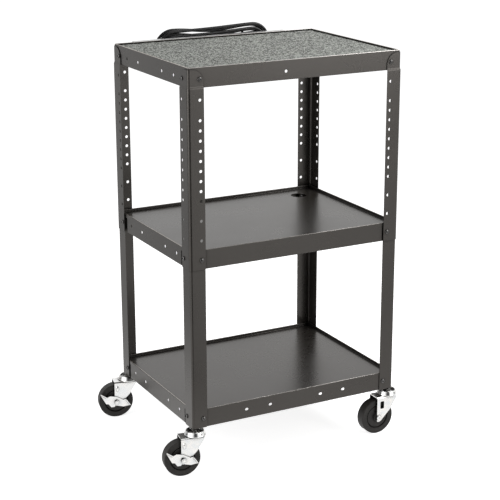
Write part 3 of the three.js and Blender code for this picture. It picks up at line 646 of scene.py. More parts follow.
def pebbled_mat():
    """Grey rubber, pebbled: random patches under painted light and shade of the relief, pale pebbles and dark
    hollows.
    """
    material, shader = new_material("pebbled mat", grey(0.22), 0.6)
    pebble = noise(material, 330, 2, (1, 0.55, 1))
    patches = noise(material, 90, 2)
    pebble_shade_and_patches = node(material, "Math", "Value", {0: patches, 1: 0.25, 2: pebble}, operation="MULTIPLY_ADD")
    # Painted light and shade: pale where the pebble relief stands up, dark in its hollows.
    colour = ramp(material, pebble_shade_and_patches, (
        (0.55, (0.066, 0.069, 0.062)), (0.62, (0.2, 0.208, 0.193)), (0.68, (0.47, 0.484, 0.45))))
    feed(material, shader, {"Base Color": colour, "Specular IOR Level": 0.15})
    bumps(material, shader, ((pebble, PEBBLE_DEPTH, 1.0),))
    return material


def wheel_rubber():
    """Hard grey-black rubber with mould grain, a little dust and painted shade in corners and gaps."""
    material, shader = new_material("hard rubber", grey(0.025, 0.1), 0.5)
    dust = noise(material, 120, 4)
    grain = noise(material, 1500, 2)
    colour = ramp(material, dust, ((0.35, grey(0.014, 0.12)), (0.75, grey(0.028, 0.1))))
    painted_corner_shade(material, shader, colour, PAINTED_SHADE_REACH)
    feed(material, shader, {"IOR": 1.4, "Roughness": spread(material, dust, 0.42, 0.62)})
    bumps(material, shader, ((grain, MOULD_DEPTH, 0.2),))
    return material


def housing_aluminium():
    """Satin aluminium with a fine brushing along the cart."""
    material, shader = new_material("satin aluminium", grey(0.6), 0.38, 0.9)
    brushed = noise(material, 900, 2, (0.03, 1, 1))
    colour = ramp(material, brushed, ((0.3, grey(0.5)), (0.7, grey(0.68))))
    feed(material, shader, {"Base Color": colour, "Roughness": spread(material, brushed, 0.3, 0.48)})
    bumps(material, shader, ((brushed, GRAIN_DEPTH, 0.2),))
    return material


def cord_jacket(name="cord jacket", grain_scale=1300):
    """Black flexible plastic with a soft sheen."""
    material, shader = new_material(name, grey(0.006), 0.3)
    grain = noise(material, grain_scale, 2)
    smear = noise(material, 40, 3)
    colour = ramp(material, smear, ((0.35, grey(0.004)), (0.7, grey(0.009))))
    roughness = spread(material, smear, 0.22, 0.36)
    feed(material, shader, {"Base Color": colour, "IOR": 1.34, "Roughness": roughness})
    bumps(material, shader, ((grain, MOULD_DEPTH, 0.15),))
    return material


PAINT = powder_coat()
# The trays' coat carries a painted highlight of pale metal along each rim top.
TRAY_PAINT = powder_coat("charcoal powder coat on trays",
                         ((CART_HEIGHT, TOP_RIM_HIGHLIGHT_DEPTH), (MIDDLE_TOP, RIM_HIGHLIGHT_DEPTH), (BOTTOM_TOP, RIM_HIGHLIGHT_DEPTH)))
ZINC = zinc_plate()
BLACK_OXIDE = black_oxide()
MAT = pebbled_mat()
RUBBER = wheel_rubber()
ALUMINIUM = housing_aluminium()
JACKET = cord_jacket()
PLASTIC = cord_jacket("plug plastic", 2200)


# Shelves
def shelf_ring(inset, z):
    radius = max(SHELF_CORNER - inset, SMALLEST_CORNER)
    return [(x, y, z) for x, y in rounded(FLANGE_X - inset, FLANGE_Y - inset, radius)]


def tray():
    """A folded tray with its top at 0: deck, hemmed rim, flange and return."""
    foot = -FLANGE_HEIGHT
    hem = RIM_WIDTH / 2
    deck = -TRAY_DEPTH
    profile = [(RETURN_WIDTH, foot + SHELF_SHEET), (RETURN_WIDTH, foot)]
    profile += [(RETURN_BEND - a, foot + RETURN_BEND - b) for b, a in arc((0, 0), RETURN_BEND, 90, 0)][::-1]
    profile += [(hem - x, z - hem) for x, z in arc((0, 0), hem, 0, 180, ARC_STEPS)]
    profile += [(RIM_WIDTH + TRAY_COVE - x, deck + TRAY_COVE - z) for x, z in arc((0, 0), TRAY_COVE, 0, 90)]
    under = [(SHELF_SHEET, deck - SHELF_SHEET), (SHELF_SHEET, foot + SHELF_SHEET)]
    return loft([shelf_ring(inset, z) for inset, z in [*under, *profile]])


def at_corners(meshes):
    """Copies in all four corners, from the one where X and Y are positive."""
    return [moved(mesh, Matrix.Diagonal((x, y, 1, 1))) for x, y in CORNERS.values() for mesh in meshes]


def shelf_bolt_holes(z):
    tools = []
    for side_x, side_y in CORNERS.values():
        tools.append(hole_along_x(side_x * FLANGE_X, side_y * BOLT_Y, z))
        tools.append(hole_along_y(side_x * BOLT_X, side_y * FLANGE_Y, z))
    return tools


def hole_along_x(x, y, z, diameter=HOLE_DIAMETER):
    return bar((x - OVERRUN, y, z), (x + OVERRUN, y, z), diameter)


def hole_along_y(x, y, z, diameter=HOLE_DIAMETER):
    return bar((x, y - OVERRUN, z), (x, y + OVERRUN, z), diameter)


def side_flange_holes(z):
    places = [side * place for side in SIDES for place in SIDE_HOLE_PLACES]
    return [hole_along_x(side * FLANGE_X, y, z) for side in SIDES for y in places]


def relief_slots(side_width, front_width):
    """Slots that free the flanges beside the legs, below the tray."""
    top = -TRAY_DEPTH - SHELF_SHEET - SHELF_SHEET
    foot = -FLANGE_HEIGHT - OVERRUN
    behind_x, behind_y = FLANGE_X - RETURN_WIDTH - OVERRUN, FLANGE_Y - RETURN_WIDTH - OVERRUN
    side_tool = block((behind_x, EDGE_Y - side_width, foot), (FLANGE_X + OVERRUN, EDGE_Y, top))
    front_tool = block((EDGE_X - front_width, behind_y, foot), (EDGE_X, FLANGE_Y + OVERRUN, top))
    return at_corners((side_tool, front_tool))


def relief_pockets(side_width, front_width):
    """Folded channels that close the flanges' slots from behind."""
    long_pocket = pocket(EDGE_X - front_width, EDGE_X, FLANGE_Y - SHELF_SHEET)
    short_pocket = moved(pocket(EDGE_Y - side_width, EDGE_Y, FLANGE_X - SHELF_SHEET), SWAPPED)
    return at_corners((long_pocket, short_pocket))


def pocket(start, end, face):
    """A channel from start to end along X, open towards the flange at Y = face."""
    top = -TRAY_DEPTH - SHELF_SHEET - CLEARANCE
    back = face - RELIEF_POCKET
    sheet = SHELF_SHEET / 2
    left, right, behind = start - sheet, end + sheet, back - sheet
    section = [(left, face), (left, behind), (right, behind), (right, face),
               (end, face), (end, back), (start, back), (start, face)]
    return prism(section, -FLANGE_HEIGHT, top)


def flange_slots(z):
    half = (SLOT_LENGTH - SLOT_DIAMETER) / 2
    outline = [(x + side * half, rise) for side in SIDES
               for x, rise in arc((0, 0), SLOT_DIAMETER / 2, -90 * side, 180 - 90 * side)]
    places = [(side * place, side_y * FLANGE_Y)
              for side in SIDES for side_y in SIDES for place in FRONT_SLOT_PLACES]
    return [upright(shifted(outline, x, z), y - OVERRUN, y + OVERRUN) for x, y in places]


def sockets():
    """Caster sockets in the corners of the bottom shelf."""
    places = [(x - MIDDLE.x, y - MIDDLE.y) for x, y in (stem_place(corner) for corner in CORNERS)]
    foot = -FLANGE_HEIGHT
    top = foot + SOCKET_HEIGHT
    solid = [bar((x, y, foot), (x, y, top), SOCKET_DIAMETER, ROUND_SIDES) for x, y in places]
    bore_foot, bore_top = foot - OVERRUN, top + CLEARANCE
    bores = [bar((x, y, bore_foot), (x, y, bore_top), SOCKET_BORE, ROUND_SIDES) for x, y in places]
    return solid, bores


def stem_place(corner):
    low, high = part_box(f"caster_stem_{corner}")
    return (low.x + high.x) / 2, (low.y + high.y) / 2


def make_shelves():
    blank = tray()
    front_hole = hole_along_y(FRONT_HOLE_PLACE, -FLANGE_Y, -TOP_BOLT_DROP)
    top = combined(blank, [*shelf_bolt_holes(-TOP_BOLT_DROP), *side_flange_holes(-TOP_BOLT_DROP), front_hole])
    lower_holes = [*shelf_bolt_holes(-BOLT_DROP), *side_flange_holes(-BOLT_DROP)]
    under_deck = (*CORD_HOLE_PLACE, -TRAY_DEPTH - OVERRUN)
    cord_hole = bar(under_deck, (*CORD_HOLE_PLACE, 0), CORD_HOLE_DIAMETER, CORD_HOLE_SIDES)
    middle_reliefs = (MIDDLE_RELIEF, MIDDLE_FRONT_RELIEF)
    bottom_reliefs = (BOTTOM_RELIEF, BOTTOM_FRONT_RELIEF)
    middle = combined(combined(blank, relief_slots(*middle_reliefs)), [*lower_holes, cord_hole])
    solid, bores = sockets()
    bottom = combined(blank, relief_slots(*bottom_reliefs))
    bottom = combined(bottom, [*lower_holes, *flange_slots(-BOLT_DROP)])
    bottom = combined(combined(bottom, solid, "UNION"), bores)
    shelves = (("top", top, [], CART_HEIGHT, "upper_frame"),
               ("middle", middle, relief_pockets(*middle_reliefs), MIDDLE_TOP, "lower_frame"),
               ("bottom", bottom, relief_pockets(*bottom_reliefs), BOTTOM_TOP, "lower_frame"))
    for level, mesh, pockets, z, body in shelves:
        mesh = joined([softened(mesh, SHELF_EDGE), *pockets])
        mesh.transform(AT_CART @ Matrix.Translation((0, 0, z)))
        piece(f"{level}_tray", mesh, TRAY_PAINT, body, [f"{level}_shelf"])


def make_mat():
    inset = RIM_WIDTH + MAT_MARGIN
    low = CART_HEIGHT - TRAY_DEPTH + CLEARANCE
    high = low + MAT_THICKNESS
    edge = [(inset + MAT_EDGE - x, high - MAT_EDGE + z) for x, z in arc((0, 0), MAT_EDGE, 0, 90)]
    mesh = loft([shelf_ring(d, z) for d, z in [(inset, low), *edge]])
    mesh.transform(AT_CART)
    piece("pebbled_mat", mesh, MAT, "upper_frame", ["top_mat"])


# Legs
def angle_section(outer_x, outer_y, bend):
    """Section of an angle leg in the corner where X and Y are positive."""
    centre = (outer_x - bend, outer_y - bend)
    return [
        (EDGE_X, outer_y), (EDGE_X, outer_y - LEG_SHEET), *arc(centre, bend - LEG_SHEET, 90, 0),
        (outer_x - LEG_SHEET, EDGE_Y), (outer_x, EDGE_Y), *arc(centre, bend, 0, 90),
    ]


def corner_tool(edge, z, radius, up):
    """What a round corner of a flange takes away, along the flange and in height."""
    outside = z + up * OVERRUN
    bend = arc((edge + radius, 0), radius, 90, 180, ARC_STEPS)
    curve = [(s, z - up * radius + up * rise) for s, rise in bend]
    return [(edge - OVERRUN, outside), (edge + radius, outside), *curve, (edge - OVERRUN, z - up * radius)]


def corner_tools(z, radius, up):
    front = upright(corner_tool(EDGE_X, z, radius, up), LOWER_Y - OVERRUN, UPPER_Y + OVERRUN)
    side = upright(corner_tool(EDGE_Y, z, radius, up), -UPPER_X - OVERRUN, -LOWER_X + OVERRUN)
    side.transform(Matrix.Rotation(math.pi / 2, 4, "Z"))
    return [front, side]


def leg_holes(heights):
    tools = []
    for z in heights:
        tools.append(hole_along_x(LOWER_X, BOLT_Y, z))
        tools.append(hole_along_y(BOLT_X, LOWER_Y, z))
    return tools


def upper_leg():
    """An upper leg: the wide section below, stepping in over the joggle to the close one."""
    top = CART_HEIGHT - LEG_TOP_DROP
    foot = MIDDLE_TOP - FLANGE_HEIGHT
    joggle_top = CART_HEIGHT - JOGGLE_DROP
    levels = [(foot, 0.0), (joggle_top - JOGGLE_HEIGHT, 0.0)]
    for i in range(1, ARC_STEPS):
        share = i / ARC_STEPS
        levels.append((joggle_top - JOGGLE_HEIGHT * (1 - share), (1 - math.cos(math.pi * share)) / 2))
    levels += [(joggle_top, 1.0), (top, 1.0)]
    rings = []
    for z, close in levels:
        step = LEG_STEP * close
        rings.append([(x, y, z) for x, y in angle_section(UPPER_X - step, UPPER_Y - step, LEG_BEND - step)])
    heights = [TOP_BOLT_Z, *(FIRST_HOLE_Z - step * HOLE_PITCH for step in HOLE_STEPS)]
    corners = [*corner_tools(top, LEG_TOP_RADIUS, 1), *corner_tools(foot, LEG_FOOT_RADIUS, -1)]
    mesh = combined(loft(rings), corners)
    return softened(combined(mesh, leg_holes(heights)), LEG_EDGE)


def lower_leg():
    outline = angle_section(LOWER_X, LOWER_Y, LEG_BEND - LEG_STEP)
    mesh = combined(prism(outline, BOTTOM_FOOT, MIDDLE_TOP), corner_tools(BOTTOM_FOOT, LEG_FOOT_RADIUS, -1))
    return softened(combined(mesh, leg_holes([BOTTOM_BOLT_Z, MIDDLE_BOLT_Z])), LEG_EDGE)


def make_legs():
    legs = {"upper": upper_leg(), "lower": lower_leg()}
    for corner, (side_x, side_y) in CORNERS.items():
        at_corner = AT_CART @ Matrix.Diagonal((side_x, side_y, 1, 1))
        for level, leg in legs.items():
            piece(f"{level}_angle_{corner}", moved(leg, at_corner), PAINT, f"{level}_frame",
                  [f"{level}_leg_{corner}"])


# Bolts
def on_hexagon(angle, width):
    """Distance to a hexagon's side at an angle, for its width across flats."""
    part = math.pi / HEX_SIDES
    return width / 2 / math.cos((angle % (2 * part)) - part)


def bolt_head():
    """A domed head with a hexagon socket, on height 0."""
    angles = around(HOLE_SIDES)
    radius = BOLT_HEAD_DIAMETER / 2
    edge = BOLT_HEAD_HEIGHT / 4
    profile = [(0, CLEARANCE), (radius, CLEARANCE)]
    for angle in map(math.radians, BOLT_DOME_ANGLES):
        rise = edge + (BOLT_HEAD_HEIGHT - edge) * math.sin(angle)
        profile.append((radius * math.cos(angle), CLEARANCE + rise))
    rings = [circle(r, z, angles) for r, z in profile]
    top = CLEARANCE + BOLT_HEAD_HEIGHT
    for z in (top, top - BOLT_SOCKET_DEPTH):
        rings.append([point for a in angles for point in circle(on_hexagon(a, BOLT_SOCKET_WIDTH), z, [a])])
    return loft(rings)


def threaded(low, high, diameter):
    """A threaded shank: rings that swell and shrink at the thread's pitch."""
    count = round((high - low) / THREAD_PITCH)
    crest, root = diameter / 2, diameter / 2 - THREAD_DEPTH
    profile = [(0, low), (root, low)]
    for i in range(count):
        start = low + (high - low) * i / count
        profile += [(crest, start + THREAD_PITCH / 2), (root, start + THREAD_PITCH)]
    return revolved([*profile, (0, profile[-1][1])], THREAD_SIDES)


def hexagon_nut(width, low, high):
    """A nut with its corners chamfered at both ends."""
    angles = around(HEX_SIDES, 1 / 2)
    radius = width / 2 / math.cos(math.pi / HEX_SIDES)
    eased, rise = radius - BOLT_NUT_CHAMFER, BOLT_NUT_CHAMFER / 2
    levels = ((eased, low), (radius, low + rise), (radius, high - rise), (eased, high))
    return loft([circle(r, z, angles) for r, z in levels])


def bolt(grip):
    nut_top = -grip - CLEARANCE
    nut_foot = nut_top - BOLT_NUT_HEIGHT
    shank = threaded(nut_foot - BOLT_END, CLEARANCE + BOLT_HEAD_HEIGHT / 4, BOLT_DIAMETER)
    return joined([bolt_head(), shank, hexagon_nut(BOLT_NUT_WIDTH, nut_foot, nut_top)])


def make_bolts():
    levels = (("top", TOP_BOLT_Z, LOWER_X, LOWER_Y, "upper_frame"),
              ("middle", MIDDLE_BOLT_Z, UPPER_X, UPPER_Y, "lower_frame"),
              ("bottom", BOTTOM_BOLT_Z, LOWER_X, LOWER_Y, "lower_frame"))
    for level, z, face_x, face_y, body in levels:
        mesh = bolt(face_x - FLANGE_X + SHELF_SHEET)
        for corner, (side_x, side_y) in CORNERS.items():
            long_place = Matrix.Translation((side_x * BOLT_X, side_y * face_y, z))
            short_place = Matrix.Translation((side_x * face_x, side_y * BOLT_Y, z))
            places = {"long": long_place @ Matrix.Rotation(-side_y * math.pi / 2, 4, "X"),
                      "short": short_place @ Matrix.Rotation(side_x * math.pi / 2, 4, "Y")}
            for flange, place in places.items():
                piece(f"{level}_{flange}_screw_{corner}", moved(mesh, AT_CART @ place), BLACK_OXIDE, body,
                      [f"{level}_bolt_{corner}_{flange}"], weighted=False)


# Casters
def caster_stem():
    floor = CROWN_TOP + CLEARANCE
    recess = floor + CAP_FLOOR
    cap_top = floor + CAP_HEIGHT
    wide, narrow = CAP_DIAMETER / 2, CAP_TOP_DIAMETER / 2
    collar = COLLAR_DIAMETER / 2
    collar_top = recess + COLLAR_HEIGHT
    stem = STEM_DIAMETER / 2
    eased = CAP_ROUND
    side, inner = floor + CAP_WALL, narrow - CAP_WALL
    profile = [
        (0, floor), (wide - eased, floor), (wide, floor + eased), (wide, side), (wide - eased, side + eased),
        (narrow + eased, cap_top - eased), (narrow, cap_top), (inner + eased, cap_top),
        (inner, cap_top - eased), (inner - eased, recess + eased), (inner - 2 * eased, recess),
        (collar + eased, recess), (collar, recess + eased), (collar, collar_top - eased),
        (collar - eased, collar_top), (stem, collar_top), (stem, STEM_TOP - eased), (stem - eased, STEM_TOP),
        (0, STEM_TOP),
    ]
    under = CROWN_TOP - FORK_SHEET - CLEARANCE
    pin, rivet = KINGPIN_DIAMETER / 2, RIVET_DIAMETER / 2
    flat, brow = (rivet * share for share in RIVET_WIDTH_SHARES)
    foot = under - RIVET_HEIGHT
    below = [(0, foot), (flat, foot), (brow, under - RIVET_HEIGHT * RIVET_RISE_SHARE), (rivet, under),
             (pin, under), (pin, recess), (0, recess)]
    angles = [math.radians(DIMPLE_TURN + 360 / CAP_DIMPLES * i) for i in range(CAP_DIMPLES)]
    centres = circle(DIMPLE_REACH_SHARE * (wide + narrow) / 2, floor + CAP_HEIGHT / 2, angles)
    cap = combined(revolved(profile, CAP_SIDES), [ball(centre, DIMPLE_RADIUS) for centre in centres])
    return combined(cap, [revolved(below)], "UNION")


def ball(centre, radius):
    bm = bmesh.new()
    bmesh.ops.create_uvsphere(bm, u_segments=BALL_SIDES, v_segments=BALL_SIDES // 2, radius=radius)
    bmesh.ops.translate(bm, verts=bm.verts, vec=centre)
    return mesh_of(bm)


def fork_end(rear, knee):
    """The round end about the axle, between the tangents from the rear and from the knee."""
    axle_height = WHEEL_DIAMETER / 2

    def tangent(point, side):
        dx, dz = point[0] - CASTER_TRAIL, point[1] - axle_height
        aside = math.acos(FORK_AXLE_RADIUS / math.hypot(dx, dz))
        return math.degrees(math.atan2(dz, dx) + side * aside)

    start, end = tangent(knee, 1), tangent(rear, -1) + 360
    return arc((CASTER_TRAIL, axle_height), FORK_AXLE_RADIUS, start, end, ARC_STEPS)


def channel(half, thickness, bend, start, end, low):
    """A channel along X, open below, with round bends at the top."""
    plus, minus = (half - bend, CROWN_TOP - bend), (bend - half, CROWN_TOP - bend)
    outer = [(half, low), *arc(plus, bend, 0, 90), *arc(minus, bend, 90, 180), (-half, low)]
    inner_half, inner_bend = half - thickness, bend - thickness
    inner = [(-inner_half, low), *arc(minus, inner_bend, 180, 90), *arc(plus, inner_bend, 90, 0),
             (inner_half, low)]
    return loft([[(x, y, z) for y, z in outer + inner] for x in (start, end)])


def fork(braked):
    half = FORK_WIDTH / 2
    axle_height = WHEEL_DIAMETER / 2
    low = axle_height - FORK_AXLE_RADIUS
    blank = channel(half, FORK_SHEET, FORK_BEND, -CAP_DIAMETER / 2, FORK_REAR, low - OVERRUN)
    rear, knee = (FORK_REAR - CLEARANCE, CROWN_TOP + OVERRUN), (0, FORK_KNEE)
    crown_foot = CROWN_TOP - FORK_SHEET - CLEARANCE
    front = -CAP_DIAMETER / 2 - OVERRUN
    side_view = [(front, CROWN_TOP + OVERRUN), (front, crown_foot), (-FORK_FRONT, crown_foot),
                 (-FORK_FRONT, FORK_FRONT_FOOT), knee, *fork_end((FORK_REAR, CROWN_TOP), knee), rear]
    mesh = combined(blank, [upright(side_view, -half - OVERRUN, half + OVERRUN)], "INTERSECT")
    crown_radius = CAP_DIAMETER / 2 - CLEARANCE
    reach = math.degrees(math.asin(half / crown_radius))
    plan = [(FORK_REAR + OVERRUN, half + OVERRUN), (-FORK_FRONT, half + OVERRUN), (-FORK_FRONT, half),
            *arc((0, 0), crown_radius, 180 - reach, 180 + reach, ARC_STEPS),
            (-FORK_FRONT, -half), (-FORK_FRONT, -half - OVERRUN), (FORK_REAR + OVERRUN, -half - OVERRUN)]
    mesh = combined(mesh, [prism(plan, low - OVERRUN, CROWN_TOP + OVERRUN)], "INTERSECT")
    tools = [bar((CASTER_TRAIL, -half - OVERRUN, axle_height), (CASTER_TRAIL, half + OVERRUN, axle_height),
                 AXLE_DIAMETER + 2 * CLEARANCE),
             bar((0, 0, CROWN_TOP - OVERRUN), (0, 0, CROWN_TOP + OVERRUN), KINGPIN_DIAMETER + 2 * CLEARANCE)]
    if not braked:
        middle_x, middle_z = sum(WINDOW_X) / 2, sum(WINDOW_Z) / 2
        window = rounded((WINDOW_X[1] - WINDOW_X[0]) / 2, (WINDOW_Z[1] - WINDOW_Z[0]) / 2, WINDOW_RADIUS)
        tools.append(upright(shifted(window, middle_x, middle_z), -half - OVERRUN, half + OVERRUN))
    mesh = softened(combined(mesh, tools), FORK_EDGE)
    if not braked:
        return mesh
    boss_x, boss_z = BOSS_PLACE
    bosses = [dome((boss_x, side * (half - CLEARANCE), boss_z), BOSS_RADIUS, side) for side in SIDES]
    return joined([mesh, *bosses])


def dome(centre, radius, side):
    """A low pressed rib, taller than wide, that stands out along Y."""
    profile = [(radius * math.cos(a), BOSS_HEIGHT * math.sin(a)) for a in map(math.radians, BOSS_ANGLES)]
    mesh = revolved([(0, 0), *profile, (0, BOSS_HEIGHT)])
    stretch = Matrix.Diagonal((1, BOSS_STRETCH, 1, 1))
    mesh.transform(Matrix.Translation(centre) @ Matrix.Rotation(-side * math.pi / 2, 4, "X") @ stretch)
    return mesh


def wheel():
    """The wheel about Z: crowned tread, round shoulders, a groove in each face and a hub."""
    radius, half = WHEEL_DIAMETER / 2, WHEEL_WIDTH / 2
    groove, face = WHEEL_GROOVE_DIAMETER / 2, WHEEL_FACE_WIDTH / 2
    hub, hub_half = WHEEL_HUB_DIAMETER / 2, WHEEL_HUB_WIDTH / 2
    bore = AXLE_DIAMETER / 2 + CLEARANCE
    ease = CLEARANCE * 2
    shoulder = [(radius - WHEEL_SHOULDER + x, half - WHEEL_SHOULDER + z)
                for x, z in arc((0, 0), WHEEL_SHOULDER, 90, 10)]
    web, floor = face + ease / 2, face - WHEEL_GROOVE_DEPTH
    side = [
        (bore, hub_half), (hub - ease, hub_half), (hub, hub_half - ease), (hub + ease, face + 2 * ease),
        (hub + 3 * ease, web), (groove - 4 * ease, web), (groove - 3 * ease, floor), (groove - ease, floor),
        (groove, half - ease * 3), (groove + 2 * ease, half - ease), *shoulder,
        (radius - ease / 3, half / 2), (radius, 0),
    ]
    other = [(r, -z) for r, z in reversed(side[:-1])]
    return revolved([*side, *other], WHEEL_SIDES, closed=True)


def axle(braked):
    """The axle about Z with a round head at the far end, and a nut over the lever where there is one."""
    half = FORK_WIDTH / 2 + CLEARANCE
    near = half + LEVER_SHEET + CLEARANCE if braked else half
    head, ease = AXLE_HEAD_DIAMETER / 2, AXLE_HEAD_HEIGHT / 4
    pin = AXLE_DIAMETER / 2
    far = -half - AXLE_HEAD_HEIGHT
    shank = revolved([(0, far), (head - ease, far), (head, far + ease), (head, -half), (pin, -half),
                      (pin, near), (0, near)])
    if not braked:
        top = near + AXLE_HEAD_HEIGHT
        cap = revolved([(0, near), (head, near), (head, top - ease), (head - ease, top), (pin, top),
                        (pin - ease, top - ease), (0, top - ease)])
        return joined([shank, cap])
    nut_width = AXLE_HEAD_DIAMETER * math.cos(math.pi / HEX_SIDES)
    nut = hexagon_nut(nut_width, near, near + AXLE_NUT_HEIGHT * AXLE_END_SHARE)
    end = threaded(near, near + AXLE_NUT_HEIGHT, AXLE_DIAMETER * AXLE_END_SHARE)
    return joined([shank, nut, end])


def brake_lever():
    """The lever about Z, X along the wheel's trail and Y up: lipped wings that flare away from the fork."""
    foot = FORK_WIDTH / 2 + CLEARANCE
    outline = [(x * LEVER_LENGTH, y * LEVER_HEIGHT) for x, y in LEVER_OUTLINE_SHARES]
    plate = combined(flat_grid(outline, foot, foot + LEVER_SHEET), [
        bar((0, 0, 0), (0, 0, foot + LEVER_SHEET + OVERRUN), AXLE_DIAMETER + 2 * CLEARANCE)])
    lips = []
    lip_top = foot + LEVER_SHEET + LEVER_LIP - LEVER_FLARE / 2
    for start, end in LEVER_LIP_SHARES:
        a = Vector((start[0] * LEVER_LENGTH, start[1] * LEVER_HEIGHT))
        b = Vector((end[0] * LEVER_LENGTH, end[1] * LEVER_HEIGHT))
        inward = Vector((b.y - a.y, a.x - b.x)).normalized() * LEVER_SHEET
        if inward.dot(a + b) > 0:
            inward = -inward
        lips.append(prism([a, b, b + inward, a + inward], foot + CLEARANCE, lip_top))
    mesh = softened(combined(plate, lips, "UNION"), FORK_EDGE)
    for vertex in mesh.vertices:
        reach = max(0.0, (abs(vertex.co.x) - LEVER_FLAT) / (LEVER_LENGTH / 2 - LEVER_FLAT))
        vertex.co.z += LEVER_FLARE * min(reach, 1) ** LEVER_FLARE_POWER
    return mesh


def flat_grid(outline, low, high):
    """An outline drawn up, cut across in strips so that it can bend."""
    bm = bmesh.new()
    bm.from_mesh(prism(outline, low, high))
    reach = LEVER_LENGTH / 2
    for i in range(-ARC_STEPS, ARC_STEPS + 1):
        geometry = [*bm.verts, *bm.edges, *bm.faces]
        bmesh.ops.bisect_plane(bm, geom=geometry, plane_co=(reach * i / ARC_STEPS, 0, 0), plane_no=(1, 0, 0))
    return mesh_of(bm)


def make_casters():
    stem = caster_stem()
    forks = {braked: fork(braked) for braked in (True, False)}
    axles = {braked: axle(braked) for braked in (True, False)}
    rubber, lever = wheel(), moved(brake_lever(), Matrix.Diagonal((1, -1, 1, 1)))
    upended = Matrix.Rotation(-math.pi / 2, 4, "X")
    joints = {joint["name"]: joint for joint in frame["joints"]}
    for corner in CORNERS:
        braked = corner in BRAKED
        across = Vector(joints[f"roll_{corner}"]["axis"])
        trail = Vector((across.y, -across.x, 0))
        heading = Matrix.Rotation(math.atan2(trail.y, trail.x), 4, "Z")
        at_stem = Matrix.Translation((*stem_place(corner), 0)) @ heading
        at_axle = at_stem @ Matrix.Translation((CASTER_TRAIL, 0, WHEEL_DIAMETER / 2)) @ upended
        rows = [("swivel_stem", "caster_stem", stem, at_stem, ZINC, "lower_frame", "zinc_plate"),
                ("pressed_fork", "caster_fork", forks[braked], at_stem, ZINC, f"fork_{corner}", "zinc_plate"),
                ("axle_bolt", "caster_axle", axles[braked], at_axle, ZINC, f"fork_{corner}", "zinc_plate"),
                ("rubber_wheel", "caster_wheel", rubber, at_axle, RUBBER, f"wheel_{corner}", "wheel_rubber")]
        if braked:
            rows.append(("brake_pedal", "brake_lever", lever, at_axle, ZINC, f"brake_{corner}", "zinc_plate"))
        for name, cad_name, mesh, place, material, body, slot in rows:
            piece(f"{name}_{corner}", moved(mesh, place), material, body, [f"{cad_name}_{corner}"])


# Outlet housing and hooks
def outlet_recess(x):
    outline = shifted(rounded(OUTLET_WIDTH / 2, OUTLET_HEIGHT / 2, HOUSING_RADIUS), x, HOUSING_MIDDLE)
    return upright(outline, HOUSING_BACK - OUTLET_DEPTH, HOUSING_BACK + OVERRUN)


def outlet_face(x):
    """The face of an outlet in its recess, with two blade slots and a round ground hole."""
    z = HOUSING_MIDDLE
    back = HOUSING_BACK - OUTLET_DEPTH
    outline = rounded(OUTLET_WIDTH / 2 - CLEARANCE, OUTLET_HEIGHT / 2 - CLEARANCE, HOUSING_RADIUS)
    plate = upright(shifted(outline, x, z), back + CLEARANCE, back + OUTLET_DEPTH / 2)
    slots = []
    for side in SIDES:
        middle = x + side * SLOT_SPACING / 2
        low = (middle - BLADE_SLOT_WIDTH / 2, back - OVERRUN, z - BLADE_SLOT_HEIGHT / 2)
        high = (middle + BLADE_SLOT_WIDTH / 2, back + OVERRUN, z + BLADE_SLOT_HEIGHT / 2)
        slots.append(block(low, high))
    ground = hole_along_y(x, back, z - GROUND_DROP, GROUND_HOLE_DIAMETER)
    return softened(combined(plate, [*slots, ground]), CLEARANCE)


def gland():
    """A tapered strain relief with ribs, below the housing."""
    top, foot = HOUSING_FOOT + HOUSING_WALL, HOUSING_FOOT - GLAND_LENGTH
    wide, narrow = GLAND_DIAMETER / 2, GLAND_END_DIAMETER / 2
    profile = [(0, top), (wide, top), (wide, HOUSING_FOOT - GLAND_LENGTH / 4)]
    for i in range(GLAND_RIBS):
        share = i / GLAND_RIBS
        radius = wide + (narrow - wide) * share
        start = HOUSING_FOOT - GLAND_LENGTH * (1 + 3 * share) / 4
        step = GLAND_LENGTH * 3 / 4 / GLAND_RIBS
        profile += [(radius - inward * 2 * CLEARANCE, start - step * along)
                    for inward, along in GLAND_RIB_SHARES]
    profile += [(narrow, foot), (0, foot)]
    mesh = revolved(profile)
    mesh.transform(Matrix.Translation((GLAND_PLACE, (HOUSING_FRONT + HOUSING_BACK) / 2, 0)))
    return mesh


def make_housing():
    outline = rounded(HOUSING_LENGTH / 2, HOUSING_HEIGHT / 2, HOUSING_RADIUS)
    half_x, half_z = HOUSING_LENGTH / 2 - HOUSING_WALL, HOUSING_HEIGHT / 2 - HOUSING_WALL
    inner = shifted(rounded(half_x, half_z, HOUSING_RADIUS - HOUSING_WALL), 0, HOUSING_MIDDLE)
    hollow = upright(inner, HOUSING_FRONT - OVERRUN, HOUSING_BACK - HOUSING_WALL - OUTLET_DEPTH)
    shell = combined(upright(shifted(outline, 0, HOUSING_MIDDLE), HOUSING_FRONT, HOUSING_BACK), [hollow])
    shell = combined(shell, [outlet_recess(side * OUTLET_PLACE) for side in SIDES])
    shell = softened(shell, CLEARANCE * 2)
    shell.transform(AT_CART)
    piece("outlet_shell", shell, ALUMINIUM, "upper_frame", ["outlet_housing"])
    relief = gland()
    relief.transform(AT_CART)
    piece("strain_relief", relief, PLASTIC, "upper_frame")
    for name, side in (("left", -1), ("right", 1)):
        face = outlet_face(side * OUTLET_PLACE)
        face.transform(AT_CART)
        piece(f"outlet_face_{name}", face, PLASTIC, "upper_frame")


def hook_height(side):
    point = hank_point(HANK_TURNS / 2 - side * HOOK_PLACE / loop_length(0))
    return point.z - CORD_DIAMETER / 2 - CLEARANCE - HOOK_DIAMETER / 2


